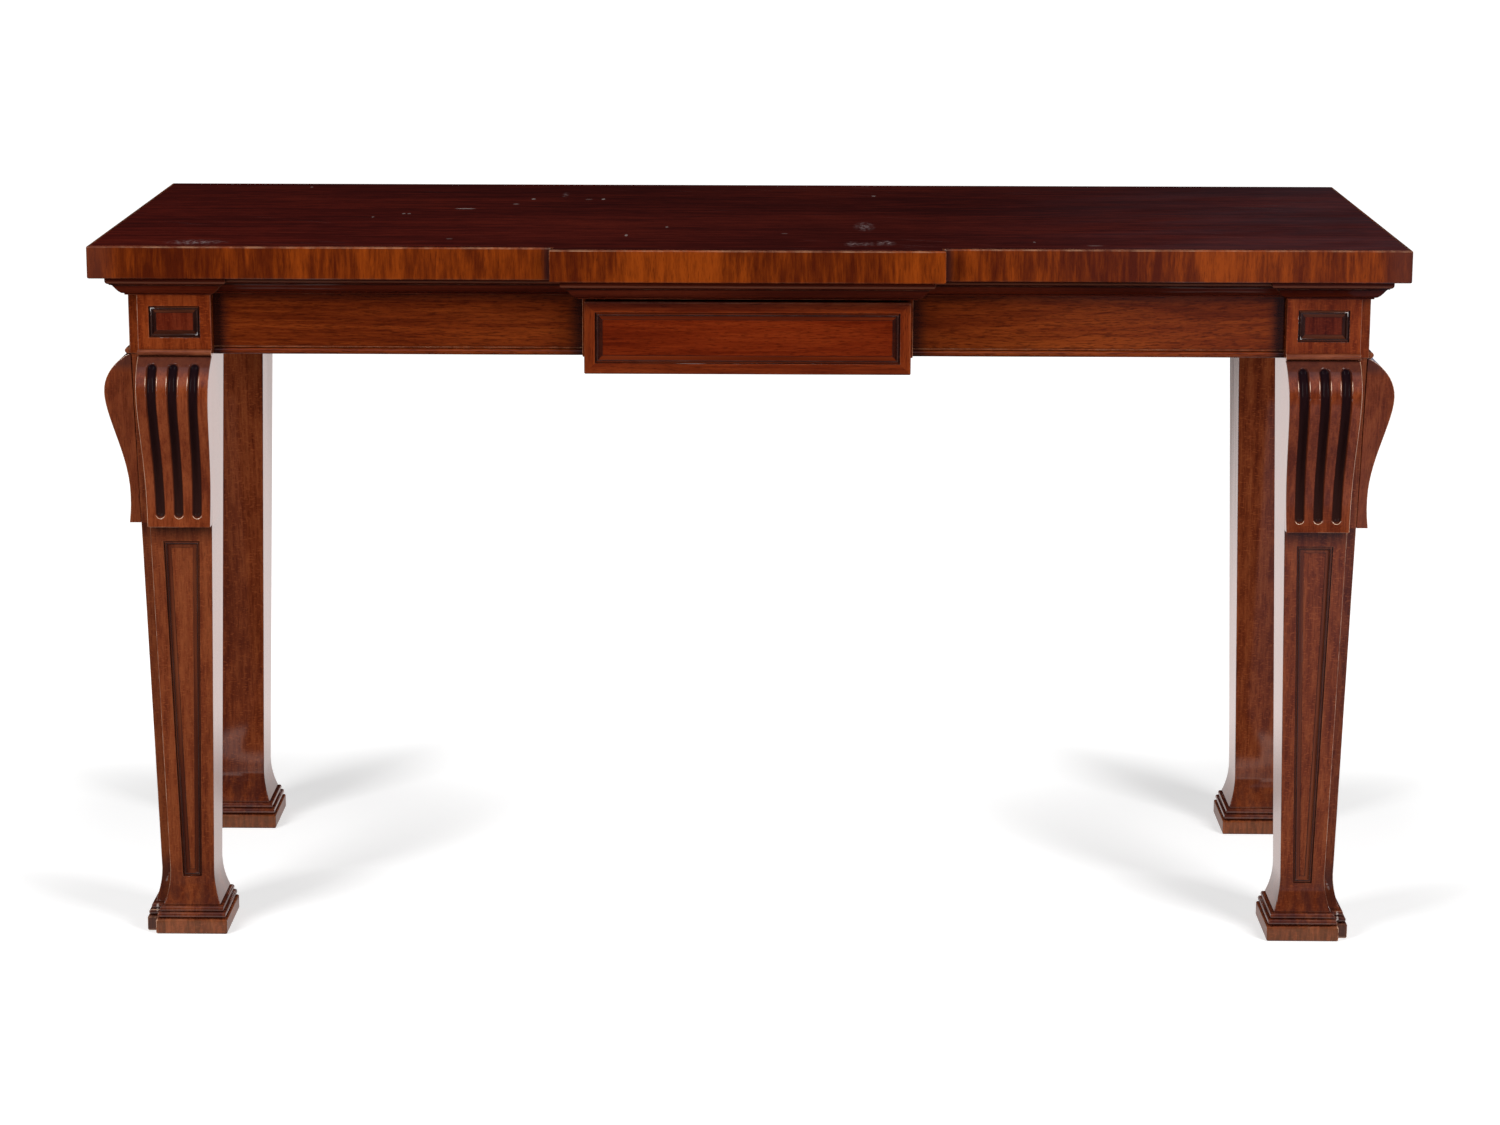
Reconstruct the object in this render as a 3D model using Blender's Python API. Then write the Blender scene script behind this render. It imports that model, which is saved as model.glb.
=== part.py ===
"""A breakfront serving table in mahogany, with one shallow drawer behind its centre tablet.

Metres, +Z up. The front faces -Y and left means -X. The origin is on the floor under the
middle of the top. Each front leg carries a fluted scroll bracket on its front face and on
its outer side face, and its outer front corner is notched from block to foot.
"""

import math

import bmesh
import bpy
from mathutils import Vector

# Clearances and finish
touch_gap = 0.0003
drawer_side_play = 0.0015
drawer_top_play = 0.002
cut_overrun = 0.002

# Top
top_width = 1.610
top_side_depth = 0.630
top_thickness = 0.040
table_height = 0.888
breakfront_width = 0.480
breakfront_step = 0.019
band_thickness = 0.0035
band_arris = 0.0012

# Where the legs stand under the top
side_overhang = 0.041
front_overhang = 0.033
back_overhang = 0.046

# Legs, from the square block at the top to the foot
block_size = 0.104
frieze_height = 0.100
notch_size = 0.0127
leg_head_width = 0.101
ankle_width = 0.0686
ankle_height = 0.080

# Foot, a plinth with two reeds and a flare above it
foot_width = 0.1035
plinth_height = 0.0195
plinth_arris = 0.0014
reed_height = 0.0072
reed_swell = 0.0028
lower_reed_inset = 0.0045
upper_reed_inset = 0.0075
lower_quirk_inset = 0.0056
upper_quirk_inset = 0.0100
quirk_height = 0.0012
flare_foot_inset = 0.0092

# Sunk panels and their mouldings
panel_depth = 0.0045
panel_moulding_width = 0.0086
panel_fillet_width = 0.0019
panel_fillet_sink = 0.0024
panel_bead_radius = 0.0011
panel_bead_quirk = 0.0007
panel_moulding_foot = 0.0008
block_panel_margin = 0.0142
block_panel_height = 0.0392
leg_panel_margin = 0.0160
leg_panel_top_gap = 0.0210
leg_panel_foot_gap = 0.0085

# Bead under each corner block
block_bead_height = 0.0078
block_bead_out = 0.0060

# Scroll brackets
bracket_top_gap = 0.0010
bracket_height = 0.2145
bracket_lip_out = 0.0022
bracket_shoulder_out = 0.0338
bracket_shoulder_drop = 0.0480
bracket_waist_out = 0.0056
bracket_waist_rise = 0.0365
bracket_toe_out = 0.0078
bracket_corner_out = 0.0140
bracket_corner_drop = 0.0060
bracket_swell_drop = 0.0220
bracket_back_drop = 0.0800
bracket_hollow_rise = 0.0865
bracket_ankle_rise = 0.0195

# Flutes in the brackets
flute_count = 3
flute_width = 0.0140
flute_depth = 0.0054
flute_head_gap = 0.0118
flute_toe_gap = 0.0107
flute_pitch_share = 0.289

# Bed moulding under the top: how far each point stands out and how far it lies below the top
bed_mould_height = 0.0243
bed_mould_out = 0.0220
bed_fillet_drop = 0.0042
bed_nosing_drop = 0.0088
bed_quirk_out = 0.0176
bed_quirk_drop = 0.0100
bed_slope_out = 0.0158
bed_foot_out = 0.0016
bed_foot_fillet = 0.0018

# Frieze rails
frieze_setback = 0.015
rail_thickness = 0.022
frieze_bead_height = 0.0080
frieze_bead_out = 0.0040
frieze_quirk_height = 0.0006
frieze_fillet_height = 0.0015
frieze_fillet_out = 0.0016
back_rail_inset = 0.010

# Drawer opening in the front frieze
opening_width = 0.374
lower_rail_thickness = 0.012
cheek_thickness = 0.016
cornice_half_width = 0.206
tablet_out = 0.020

# Drawer
drawer_front_width = 0.400
drawer_front_height = 0.0895
drawer_front_thickness = 0.022
drawer_front_hang = 0.0175
drawer_front_arris = 0.0012
drawer_panel_margin = 0.0133
drawer_moulding_width = 0.0092
drawer_rear_space = 0.097
drawer_side_thickness = 0.010
drawer_back_thickness = 0.010
drawer_back_low = 0.004
drawer_bottom_thickness = 0.006
drawer_bottom_lift = 0.006
drawer_groove_depth = 0.005

# Runners, kickers and corner braces
runner_width = 0.022
runner_thickness = 0.016
guide_thickness = 0.010
guide_height = 0.014
kicker_width = 0.024
brace_thickness = 0.025
brace_web = 0.024

# Counts of facets
reed_facets = 5
flare_facets = 7
shoulder_facets = 11
back_facets = 13
toe_facets = 3
flute_sides = 14
flute_end_rings = 3
bead_facets = 8
nosing_facets = 4
slope_facets = 6
moulding_facets = 4

# Places worked out from the sizes above
overall_depth = top_side_depth + breakfront_step
centre_edge_y = -overall_depth / 2
side_edge_y = centre_edge_y + breakfront_step
back_edge_y = overall_depth / 2
top_under_z = table_height - top_thickness
block_half = block_size / 2
block_outer_x = top_width / 2 - side_overhang
block_inner_x = block_outer_x - block_size
leg_x = block_outer_x - block_half
block_front_y = side_edge_y + front_overhang
front_leg_y = block_front_y + block_half
rear_leg_y = back_edge_y - back_overhang - block_half
frieze_bottom_z = top_under_z - frieze_height
block_top_z = top_under_z - touch_gap
bead_top_z = frieze_bottom_z + block_bead_height
bed_mould_bottom_z = top_under_z - bed_mould_height
bracket_top_z = frieze_bottom_z - bracket_top_gap
bracket_bottom_z = bracket_top_z - bracket_height
frieze_front_y = block_front_y + frieze_setback
rail_back_y = frieze_front_y + rail_thickness
side_frieze_x = block_outer_x - frieze_setback
tablet_front_y = block_front_y - tablet_out
tablet_back_y = tablet_front_y + drawer_front_thickness
drawer_front_bottom_z = frieze_bottom_z - drawer_front_hang
drawer_front_top_z = drawer_front_bottom_z + drawer_front_height
lower_rail_top_z = frieze_bottom_z + lower_rail_thickness
drawer_box_half = opening_width / 2 - drawer_side_play
drawer_box_bottom_z = lower_rail_top_z + touch_gap
drawer_box_top_z = bed_mould_bottom_z - drawer_top_play
back_rail_back_y = rear_leg_y + block_half - back_rail_inset
back_rail_front_y = back_rail_back_y - rail_thickness
drawer_box_back_y = back_rail_front_y - drawer_rear_space
sides = {"left": -1, "right": 1}


def clear_scene():
    """Removes whatever the scene holds."""
    for old in list(bpy.data.objects):
        bpy.data.objects.remove(old, do_unlink=True)


def wood(name, colour, roughness):
    """A plain wood colour for one kind of piece."""
    made = bpy.data.materials.new(name)
    made.use_nodes = True
    shader = made.node_tree.nodes["Principled BSDF"]
    shader.inputs["Base Color"].default_value = (*colour, 1)
    shader.inputs["Roughness"].default_value = roughness
    shader.inputs["Metallic"].default_value = 0
    made.diffuse_color = (*colour, 1)
    return made


def empty(name, place):
    """An empty that carries the pieces that belong together."""
    made = bpy.data.objects.new(name, None)
    made.location = place
    bpy.context.scene.collection.objects.link(made)
    return made


def piece(name, points, faces, material, origin, parent=None):
    """Makes one named object from world points, with its own origin."""
    base = Vector(origin)
    mesh = bpy.data.meshes.new(name)
    mesh.from_pydata([Vector(p) - base for p in points], [], faces)
    shape = bmesh.new()
    shape.from_mesh(mesh)
    bmesh.ops.recalc_face_normals(shape, faces=shape.faces)
    shape.to_mesh(mesh)
    shape.free()
    made = bpy.data.objects.new(name, mesh)
    bpy.context.scene.collection.objects.link(made)
    made.location = base
    if material is not None:
        mesh.materials.append(material)
    if parent is not None:
        made.parent = parent
        made.location = base - parent.location
    return made


def round_off(made, angle_share=1 / 6):
    """Shades the round stretches smooth and keeps the edges sharp."""
    made.data.shade_smooth()
    made.data.set_sharp_from_angle(angle=math.pi * angle_share)
    return made


def cut(made, name, points, faces):
    """Cuts a hidden shape out of a piece."""
    origin = made.location + made.parent.location
    cutter = piece(name, points, faces, None, origin, made.parent)
    cutter.hide_render = True
    cutter.display_type = "WIRE"
    modifier = made.modifiers.new(name, "BOOLEAN")
    modifier.operation = "DIFFERENCE"
    modifier.solver = "EXACT"
    modifier.object = cutter


def ease(made, width):
    """Takes the sharpness off every square edge."""
    modifier = made.modifiers.new("eased_edges", "BEVEL")
    modifier.width = width
    modifier.segments = 1
    modifier.limit_method = "ANGLE"


def joined(parts):
    """Puts several closed shapes into one list of points and faces."""
    points = []
    faces = []
    for more_points, more_faces in parts:
        first = len(points)
        points.extend(more_points)
        faces.extend(tuple(first + i for i in face) for face in more_faces)
    return points, faces


def box_shape(low, high):
    """A box between two corners."""
    points = [(x, y, z) for x in (low[0], high[0]) for y in (low[1], high[1]) for z in (low[2], high[2])]
    faces = [(0, 1, 3, 2), (4, 6, 7, 5), (0, 4, 5, 1), (2, 3, 7, 6), (0, 2, 6, 4), (1, 5, 7, 3)]
    return points, faces


def box(name, low, high, material, parent):
    """A plain board, with its origin in its middle."""
    points, faces = box_shape(low, high)
    middle = [(a + b) / 2 for a, b in zip(low, high)]
    return piece(name, points, faces, material, middle, parent)


def loft_shape(rings, closed_loop=False):
    """Joins rings of equal length into a closed skin, capped unless the rings form a loop."""
    count = len(rings[0])
    points = [p for ring in rings for p in ring]
    faces = []
    steps = len(rings) if closed_loop else len(rings) - 1
    for step in range(steps):
        a = step * count
        b = (step + 1) % len(rings) * count
        for i in range(count):
            j = (i + 1) % count
            faces.append((a + i, a + j, b + j, b + i))
    if not closed_loop:
        faces.append(tuple(reversed(range(count))))
        faces.append(tuple((len(rings) - 1) * count + i for i in range(count)))
    return points, faces


def arc(middle, radii, start, stop, facets):
    """Points along part of an ellipse, angles in turns."""
    found = []
    for i in range(facets + 1):
        angle = math.tau * (start + (stop - start) * i / facets)
        found.append((middle[0] + radii[0] * math.cos(angle), middle[1] + radii[1] * math.sin(angle)))
    return found


def bezier(a, b, c, d, facets):
    """Points along a cubic curve, without its first point."""
    found = []
    for i in range(1, facets + 1):
        t = i / facets
        s = 1 - t
        weights = (s**3, 3 * s * s * t, 3 * s * t * t, t**3)
        found.append(tuple(sum(w * p[k] for w, p in zip(weights, (a, b, c, d))) for k in (0, 1)))
    return found


def corner_at(path, index, out):
    """The place where two wall lines, moved outwards by one distance, meet at a corner of the path."""
    here = Vector(path[index])
    normals = []
    for a, b in ((index - 1, index), (index, index + 1)):
        if 0 <= a and b < len(path):
            along = (Vector(path[b]) - Vector(path[a])).normalized()
            normals.append(Vector((along.y, -along.x)))
    if len(normals) == 1:
        return here + normals[0] * out
    total = normals[0] + normals[1]
    return here + total * (out / (1 + normals[0].dot(normals[1])))


def run_shape(path, first, last, section):
    """A moulding along part of a path of walls, mitred at its corners.

    The section's points give how far they stand out from the wall and their height.
    """
    rings = []
    for index in range(first, last + 1):
        ring = []
        for out, height in section:
            place = corner_at(path, index, out)
            if index == first and first > 0:
                along = Vector(path[index + 1]) - Vector(path[index])
                place = place + along.normalized() * touch_gap
            if index == last and last < len(path) - 1:
                along = Vector(path[index]) - Vector(path[index - 1])
                place = place - along.normalized() * touch_gap
            ring.append((place.x, place.y, height))
        rings.append(ring)
    return loft_shape(rings)


def run(name, path, first, last, section, material, parent):
    """Makes one length of moulding, with its origin on the wall at its middle."""
    points, faces = run_shape(path, first, last, section)
    middle = (Vector(path[first]) + Vector(path[last])) / 2
    made = piece(name, points, faces, material, (middle.x, middle.y, section[0][1]), parent)
    return round_off(made)


def leg_half(z):
    """Half the width of a leg at a height between the ankle and the block."""
    share = (z - ankle_height) / (frieze_bottom_z - ankle_height)
    return (ankle_width + (leg_head_width - ankle_width) * share) / 2


def on_face(face, side, leg_y, u, out, z):
    """A place on a front or outer side face of a leg.

    u runs along the face towards the outer front corner, and out is the distance from the leg's axis.
    """
    if face == "front":
        return (side * (leg_x + u), leg_y - out, z)
    return (side * (leg_x + out), leg_y - u, z)


def foot_outline():
    """Half widths and heights of the foot, from the floor to the ankle."""
    half = foot_width / 2
    low = plinth_height + quirk_height
    found = [
        (half - plinth_arris, 0),
        (half, plinth_arris),
        (half, plinth_height - plinth_arris),
        (half - plinth_arris, plinth_height),
        (half - lower_quirk_inset, plinth_height),
        (half - lower_quirk_inset, low),
    ]
    for inset in (lower_reed_inset, upper_reed_inset):
        middle = (half - inset, low + reed_height / 2)
        found.extend(arc(middle, (reed_swell, reed_height / 2), -1 / 4, 1 / 4, reed_facets))
        low = low + reed_height
    found.append((half - upper_quirk_inset, low))
    low = low + quirk_height
    found.append((half - upper_quirk_inset, low))
    flare_foot = half - flare_foot_inset
    ankle = ankle_width / 2
    rise = ankle_height - low
    sag = flare_foot - ankle
    radius = (sag * sag + rise * rise) / (2 * sag)
    for i in range(flare_facets + 1):
        height = low + rise * i / flare_facets
        above = ankle_height - height
        found.append((ankle + radius - math.sqrt(radius * radius - above * above), height))
    return found


def leg_ring(side, leg_y, half, z, notched):
    """One level of a leg, square or with its outer front corner notched."""
    if notched:
        near = half - notch_size
        outline = [(-half, -half), (near, -half), (near, -near), (half, -near), (half, half), (-half, half)]
    else:
        outline = [(-half, -half), (half, -half), (half, half), (-half, half)]
    return [(side * (leg_x + x), leg_y + y, z) for x, y in outline]


def leg(name, side, leg_y, notched, material, parent):
    """A leg in one piece: block, taper, flared ankle and stepped foot."""
    levels = foot_outline()
    levels.append((leg_half(frieze_bottom_z), frieze_bottom_z))
    levels.append((block_half, frieze_bottom_z))
    levels.append((block_half, block_top_z))
    rings = [leg_ring(side, leg_y, half, z, notched) for half, z in levels]
    points, faces = loft_shape(rings)
    return piece(name, points, faces, material, (side * leg_x, leg_y, 0), parent)


def block_panel():
    """The four corners (u, z) of the sunk panel of a corner block, and the wall distance at each."""
    left = -block_half + block_panel_margin
    right = block_half - notch_size - block_panel_margin
    middle = (bead_top_z + bed_mould_bottom_z) / 2
    low = middle - block_panel_height / 2
    high = middle + block_panel_height / 2
    return [(left, low), (right, low), (right, high), (left, high)], lambda z: block_half


def leg_panel():
    """The four corners (u, z) of the sunk panel of a leg, and the wall distance at each."""
    low = ankle_height - leg_panel_foot_gap
    high = bracket_bottom_z - leg_panel_top_gap
    found = []
    for z, order in ((low, 1), (high, -1)):
        ends = [-leg_half(z) + leg_panel_margin, leg_half(z) - notch_size - leg_panel_margin]
        found.extend((u, z) for u in ends[::order])
    return found, leg_half


def inset_corners(corners, inset):
    """Moves the four corners of a panel inwards."""
    steps = ((1, 1), (-1, 1), (-1, -1), (1, -1))
    return [(u + inset * a, z + inset * b) for (u, z), (a, b) in zip(corners, steps)]


def pocket_shape(place, corners, wall):
    """The shape that sinks a panel into a face."""
    rings = []
    for out in (cut_overrun, -panel_depth):
        rings.append([place(u, wall(z) + out, z) for u, z in corners])
    return loft_shape(rings)


def moulding_section(width):
    """Insets and depths round a panel moulding: a sunk fillet, a bead on it and a hollow slope."""
    radius = panel_bead_radius
    middle = (panel_fillet_width + radius, -panel_fillet_sink)
    found = [(touch_gap, touch_gap - panel_depth), (touch_gap, -panel_fillet_sink)]
    found.extend(arc(middle, (radius, radius), 1 / 2, 0, moulding_facets))
    head = (middle[0] + radius, -panel_fillet_sink - panel_bead_quirk)
    foot = (width, panel_moulding_foot - panel_depth)
    hollow = (head[0], foot[1])
    found.append(head)
    found.extend(bezier(head, hollow, hollow, foot, moulding_facets))
    found.append((width, touch_gap - panel_depth))
    return found


def frame_shape(place, corners, wall, width):
    """A mitred moulding round the inside of a sunk panel."""
    rings = []
    for inset, out in moulding_section(width):
        rings.append([place(u, wall(z) + out, z) for u, z in inset_corners(corners, inset)])
    return loft_shape(rings, closed_loop=True)


def block_bead_shape(place):
    """The half-round bead along the foot of a corner block's face."""
    radius = block_bead_height / 2
    middle = (block_bead_out - radius, frieze_bottom_z + radius)
    section = [(touch_gap, frieze_bottom_z), (touch_gap, bead_top_z)]
    section.extend(arc(middle, (radius, radius), 1 / 4, -1 / 4, bead_facets))
    rings = []
    for u in (-block_half, block_half - notch_size):
        rings.append([place(u, block_half + out, z) for out, z in section])
    return loft_shape(rings)


def bracket_profile():
    """How far a bracket stands out from the block's face, and how far below its top, top to toe."""
    lip = (bracket_lip_out, 0)
    shoulder = (bracket_shoulder_out, bracket_shoulder_drop)
    waist = (bracket_waist_out, bracket_height - bracket_waist_rise)
    toe = (bracket_toe_out, bracket_height)
    corner = (bracket_corner_out, bracket_corner_drop)
    swell = (bracket_shoulder_out, bracket_swell_drop)
    found = [lip]
    found.extend(bezier(lip, corner, swell, shoulder, shoulder_facets))
    back = (bracket_shoulder_out, bracket_back_drop)
    hollow = (bracket_waist_out, bracket_height - bracket_hollow_rise)
    found.extend(bezier(shoulder, back, hollow, waist, back_facets))
    ankle = (bracket_waist_out, bracket_height - bracket_ankle_rise)
    found.extend(bezier(waist, ankle, ankle, toe, toe_facets))
    return found


def bracket_edges(drop):
    """The two edges (u) of a bracket's face at a depth below its top."""
    share = drop / bracket_height
    toe_half = leg_half(bracket_bottom_z)
    low = -block_half + (block_half - toe_half) * share
    high = block_half - notch_size - (block_half - toe_half) * share
    return low, high


def bracket_shape(place):
    """A scroll bracket: its outline extruded across the face, narrowing with the leg."""
    outline = [(block_half + out, drop) for out, drop in bracket_profile()]
    outline.append((leg_half(bracket_bottom_z) + touch_gap, bracket_height))
    outline.append((leg_half(bracket_top_z) + touch_gap, 0))
    rings = []
    for end in (0, 1):
        rings.append([place(bracket_edges(drop)[end], out, bracket_top_z - drop) for out, drop in outline])
    return loft_shape(rings)


def flute_path():
    """Where a flute runs on the bracket's profile, from head to toe.

    Each step is a place (out, drop), the way down the profile there and the way out of it.
    Between its two ends a flute has one step in the middle of each facet.
    """
    profile = [Vector(p) for p in bracket_profile()]
    facets = [(a, b, (b - a).length) for a, b in zip(profile, profile[1:])]
    total = sum(length for a, b, length in facets)
    head = flute_head_gap + flute_width / 2
    toe = total - flute_toe_gap - flute_width / 2
    steps = []
    walked = 0
    for a, b, length in facets:
        marks = [walked + length / 2]
        if walked <= head < walked + length:
            marks = [head]
        if walked <= toe < walked + length:
            marks = [toe]
        steps.extend(a + (b - a) * ((mark - walked) / length) for mark in marks if head <= mark <= toe)
        walked += length
    found = []
    for i, here in enumerate(steps):
        along = (steps[min(i + 1, len(steps) - 1)] - steps[max(i - 1, 0)]).normalized()
        found.append((here, along, Vector((along.y, -along.x))))
    return found


def flute_shape(place, share):
    """The shape that cuts one flute: a rod with round ends that follows the bracket's face.

    The share says how far from the middle of the face it runs.
    """
    half = flute_width / 2
    radius = (half * half + flute_depth * flute_depth) / (2 * flute_depth)
    lift = radius - flute_depth
    placed = flute_path()
    levels = []
    for i in range(flute_end_rings, 0, -1):
        angle = math.tau / 4 * i / (flute_end_rings + 1 / 2)
        levels.append((placed[0], -math.sin(angle), math.cos(angle)))
    levels.extend((spot, 0, 1) for spot in placed)
    for i in range(1, flute_end_rings + 1):
        angle = math.tau / 4 * i / (flute_end_rings + 1 / 2)
        levels.append((placed[-1], math.sin(angle), math.cos(angle)))
    head_low, head_high = bracket_edges(0)
    rings = []
    for (here, along, outward), forward, shrink in levels:
        centre = here + along * (forward * half) + outward * lift
        low, high = bracket_edges(here.y)
        narrowing = (high - low) / (head_high - head_low)
        u = (low + high) / 2 + share * (high - low)
        ring = []
        for k in range(flute_sides):
            angle = math.tau * (k + 1 / 2) / flute_sides
            across = radius * narrowing * shrink * math.cos(angle)
            outwards = radius * shrink * math.sin(angle)
            spot = centre + outward * outwards
            ring.append(place(u + across, block_half + spot.x, bracket_top_z - spot.y))
        rings.append(ring)
    return loft_shape(rings)


def bracket(name, place, origin, material, parent):
    """A fluted scroll bracket."""
    points, faces = bracket_shape(place)
    made = piece(name, points, faces, material, origin, parent)
    middle = (flute_count - 1) / 2
    flutes = [flute_shape(place, (i - middle) * flute_pitch_share) for i in range(flute_count)]
    points, faces = joined(flutes)
    cut(made, "cut_" + name + "_flutes", points, faces)
    round_off(made)


def wall_path():
    """The line of the walls under the top, from the back left corner round the front to the back right."""
    half = [
        (-block_outer_x, rear_leg_y + block_half),
        (-block_outer_x, rear_leg_y - block_half),
        (-side_frieze_x, rear_leg_y - block_half),
        (-side_frieze_x, front_leg_y + block_half),
        (-block_outer_x, front_leg_y + block_half),
        (-block_outer_x, block_front_y),
        (-block_inner_x, block_front_y),
        (-block_inner_x, frieze_front_y),
        (-cornice_half_width, frieze_front_y),
        (-cornice_half_width, tablet_front_y),
    ]
    return half + [(-x, y) for x, y in reversed(half)]


def bed_mould_section():
    """The bed moulding: fillet and nosing at the top, a quirk, and an ogee slope down to the wall."""
    top = block_top_z
    found = [(touch_gap, top), (touch_gap, bed_mould_bottom_z), (bed_foot_out, bed_mould_bottom_z)]
    foot = (bed_foot_out, bed_mould_bottom_z + bed_foot_fillet)
    head = (bed_slope_out, top_under_z - bed_quirk_drop)
    found.append(foot)
    turn = (head[0] - foot[0]) / 2
    found.extend(bezier(foot, (foot[0] + turn, foot[1]), (head[0] - turn / 3, head[1]), head, slope_facets))
    found.append((bed_quirk_out, head[1]))
    fillet_z = top_under_z - bed_fillet_drop
    nosing = (bed_mould_out - bed_quirk_out, bed_nosing_drop - bed_fillet_drop)
    found.extend(arc((bed_quirk_out, fillet_z), nosing, -1 / 4, 0, nosing_facets))
    found.append((bed_mould_out, top))
    return list(reversed(found))


def band_section():
    """The cross-grain band on the edge of the top, with its two arrises eased."""
    back = touch_gap
    front = back + band_thickness
    return [
        (back, top_under_z),
        (front - band_arris, top_under_z),
        (front, top_under_z + band_arris),
        (front, table_height - band_arris),
        (front - band_arris, table_height),
        (back, table_height),
    ]


def make_top(materials, parent):
    """The top panel and the cross-grain bands round its edge."""
    inner = band_thickness + touch_gap
    x_end = top_width / 2 - inner
    x_step = breakfront_width / 2 - inner
    outline = [
        (-x_end, back_edge_y - inner),
        (-x_end, side_edge_y + inner),
        (-x_step, side_edge_y + inner),
        (-x_step, centre_edge_y + inner),
        (x_step, centre_edge_y + inner),
        (x_step, side_edge_y + inner),
        (x_end, side_edge_y + inner),
        (x_end, back_edge_y - inner),
    ]
    points, faces = loft_shape([[(x, y, z) for x, y in outline] for z in (top_under_z, table_height)])
    piece("top_panel", points, faces, materials["top"], (0, 0, top_under_z), parent)
    spans = {
        "left": (0, 1),
        "front_left": (1, 2),
        "front_centre": (2, 5),
        "front_right": (5, 6),
        "right": (6, 7),
        "back": (7, 8),
    }
    for word, (first, last) in spans.items():
        path = [outline[i % len(outline)] for i in range(first - 1, last + 2)]
        run("edge_band_" + word, path, 1, len(path) - 2, band_section(), materials["band"], parent)


def make_bed_mouldings(materials, parent):
    """The bed moulding in mitred lengths, each named by the wall that it runs along."""
    path = wall_path()
    section = bed_mould_section()
    last = len(path) - 1
    spans = {"rear_block": (0, 2), "side": (2, 3), "front_block": (3, 7), "frieze": (7, 8)}
    for word, (first, end) in spans.items():
        name = "bed_mould_" + word
        run(name + "_left", path, first, end, section, materials["moulding"], parent)
        run(name + "_right", path, last - end, last - first, section, materials["moulding"], parent)
    first = spans["frieze"][1]
    run("bed_mould_centre", path, first, last - first, section, materials["moulding"], parent)


def leg_dressing(word, side, front, materials, parent):
    """The sunk panels, panel mouldings, beads and brackets on two faces of a front leg."""
    origin = (side * leg_x, front_leg_y, 0)
    for face in ("front", "side"):
        def place(u, out, z, face=face):
            return on_face(face, side, front_leg_y, u, out, z)

        ending = "_" + word + "_" + face
        for kind, (corners, wall) in {"block": block_panel(), "leg": leg_panel()}.items():
            points, faces = pocket_shape(place, corners, wall)
            cut(front, "cut_" + kind + ending, points, faces)
            name = kind + "_panel_moulding" + ending
            points, faces = frame_shape(place, corners, wall, panel_moulding_width)
            round_off(piece(name, points, faces, materials["glazed"], origin, parent))
        points, faces = block_bead_shape(place)
        round_off(piece("block_bead" + ending, points, faces, materials["moulding"], origin, parent))
        seat = place(0, leg_half(bracket_top_z), bracket_top_z)
        bracket("bracket" + ending, place, seat, materials["mahogany"], parent)


def make_legs(materials, parent):
    """The four legs, and what the front legs carry."""
    for word, side in sides.items():
        leg("leg_rear_" + word, side, rear_leg_y, False, materials["mahogany"], parent)
        front = leg("leg_front_" + word, side, front_leg_y, True, materials["mahogany"], parent)
        leg_dressing(word, side, front, materials, parent)


def board_section():
    """A frieze board on its edge, with a bead, a quirk and a fillet worked along the foot of its face."""
    radius = frieze_bead_height / 2
    quirk_top = frieze_bottom_z + frieze_bead_height + frieze_quirk_height
    fillet_top = quirk_top + frieze_fillet_height
    found = [(-rail_thickness, frieze_bottom_z), (-rail_thickness, block_top_z), (0, block_top_z)]
    found.extend([(0, fillet_top), (frieze_fillet_out, fillet_top)])
    found.extend([(frieze_fillet_out, quirk_top), (0, quirk_top)])
    found.extend(arc((0, frieze_bottom_z + radius), (frieze_bead_out, radius), 1 / 4, -1 / 4, bead_facets))
    return found


def make_frieze(materials, parent):
    """The moulded frieze boards at the front and the sides, and the plain rail at the back."""
    section = board_section()
    for word, side in sides.items():
        ends = sorted([
            (side * (opening_width / 2 + cheek_thickness + touch_gap), frieze_front_y),
            (side * (block_inner_x - touch_gap), frieze_front_y),
        ])
        run("frieze_board_" + word, ends, 0, 1, section, materials["mahogany"], parent)
        ends = [
            (side * side_frieze_x, rear_leg_y - block_half - touch_gap),
            (side * side_frieze_x, front_leg_y + block_half + touch_gap),
        ]
        if side > 0:
            ends.reverse()
        run("side_rail_" + word, ends, 0, 1, section, materials["mahogany"], parent)
    box("back_rail", (touch_gap - block_inner_x, back_rail_front_y, frieze_bottom_z),
        (block_inner_x - touch_gap, back_rail_back_y, block_top_z), materials["mahogany"], parent)


def make_drawer_opening(materials, parent):
    """The rails, the cheeks and the cornice block that frame the drawer's opening."""
    half = opening_width / 2
    for name, low, high in (
        ("drawer_rail_upper", bed_mould_bottom_z, block_top_z),
        ("drawer_rail_lower", frieze_bottom_z, lower_rail_top_z),
    ):
        box(name, (touch_gap - half, frieze_front_y, low), (half - touch_gap, rail_back_y, high),
            materials["mahogany"], parent)
    box("centre_cornice_block", (-cornice_half_width, tablet_front_y, bed_mould_bottom_z),
        (cornice_half_width, frieze_front_y - touch_gap, block_top_z), materials["moulding"], parent)
    outline = [
        (tablet_back_y + touch_gap, frieze_bottom_z),
        (rail_back_y, frieze_bottom_z),
        (rail_back_y, block_top_z),
        (frieze_front_y, block_top_z),
        (frieze_front_y, bed_mould_bottom_z - touch_gap),
        (tablet_back_y + touch_gap, bed_mould_bottom_z - touch_gap),
    ]
    for word, side in sides.items():
        rings = [[(side * x, y, z) for y, z in outline] for x in (half, half + cheek_thickness)]
        points, faces = loft_shape(rings)
        piece("drawer_cheek_" + word, points, faces, materials["mahogany"],
              (side * half, frieze_front_y, frieze_bottom_z), parent)


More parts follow.
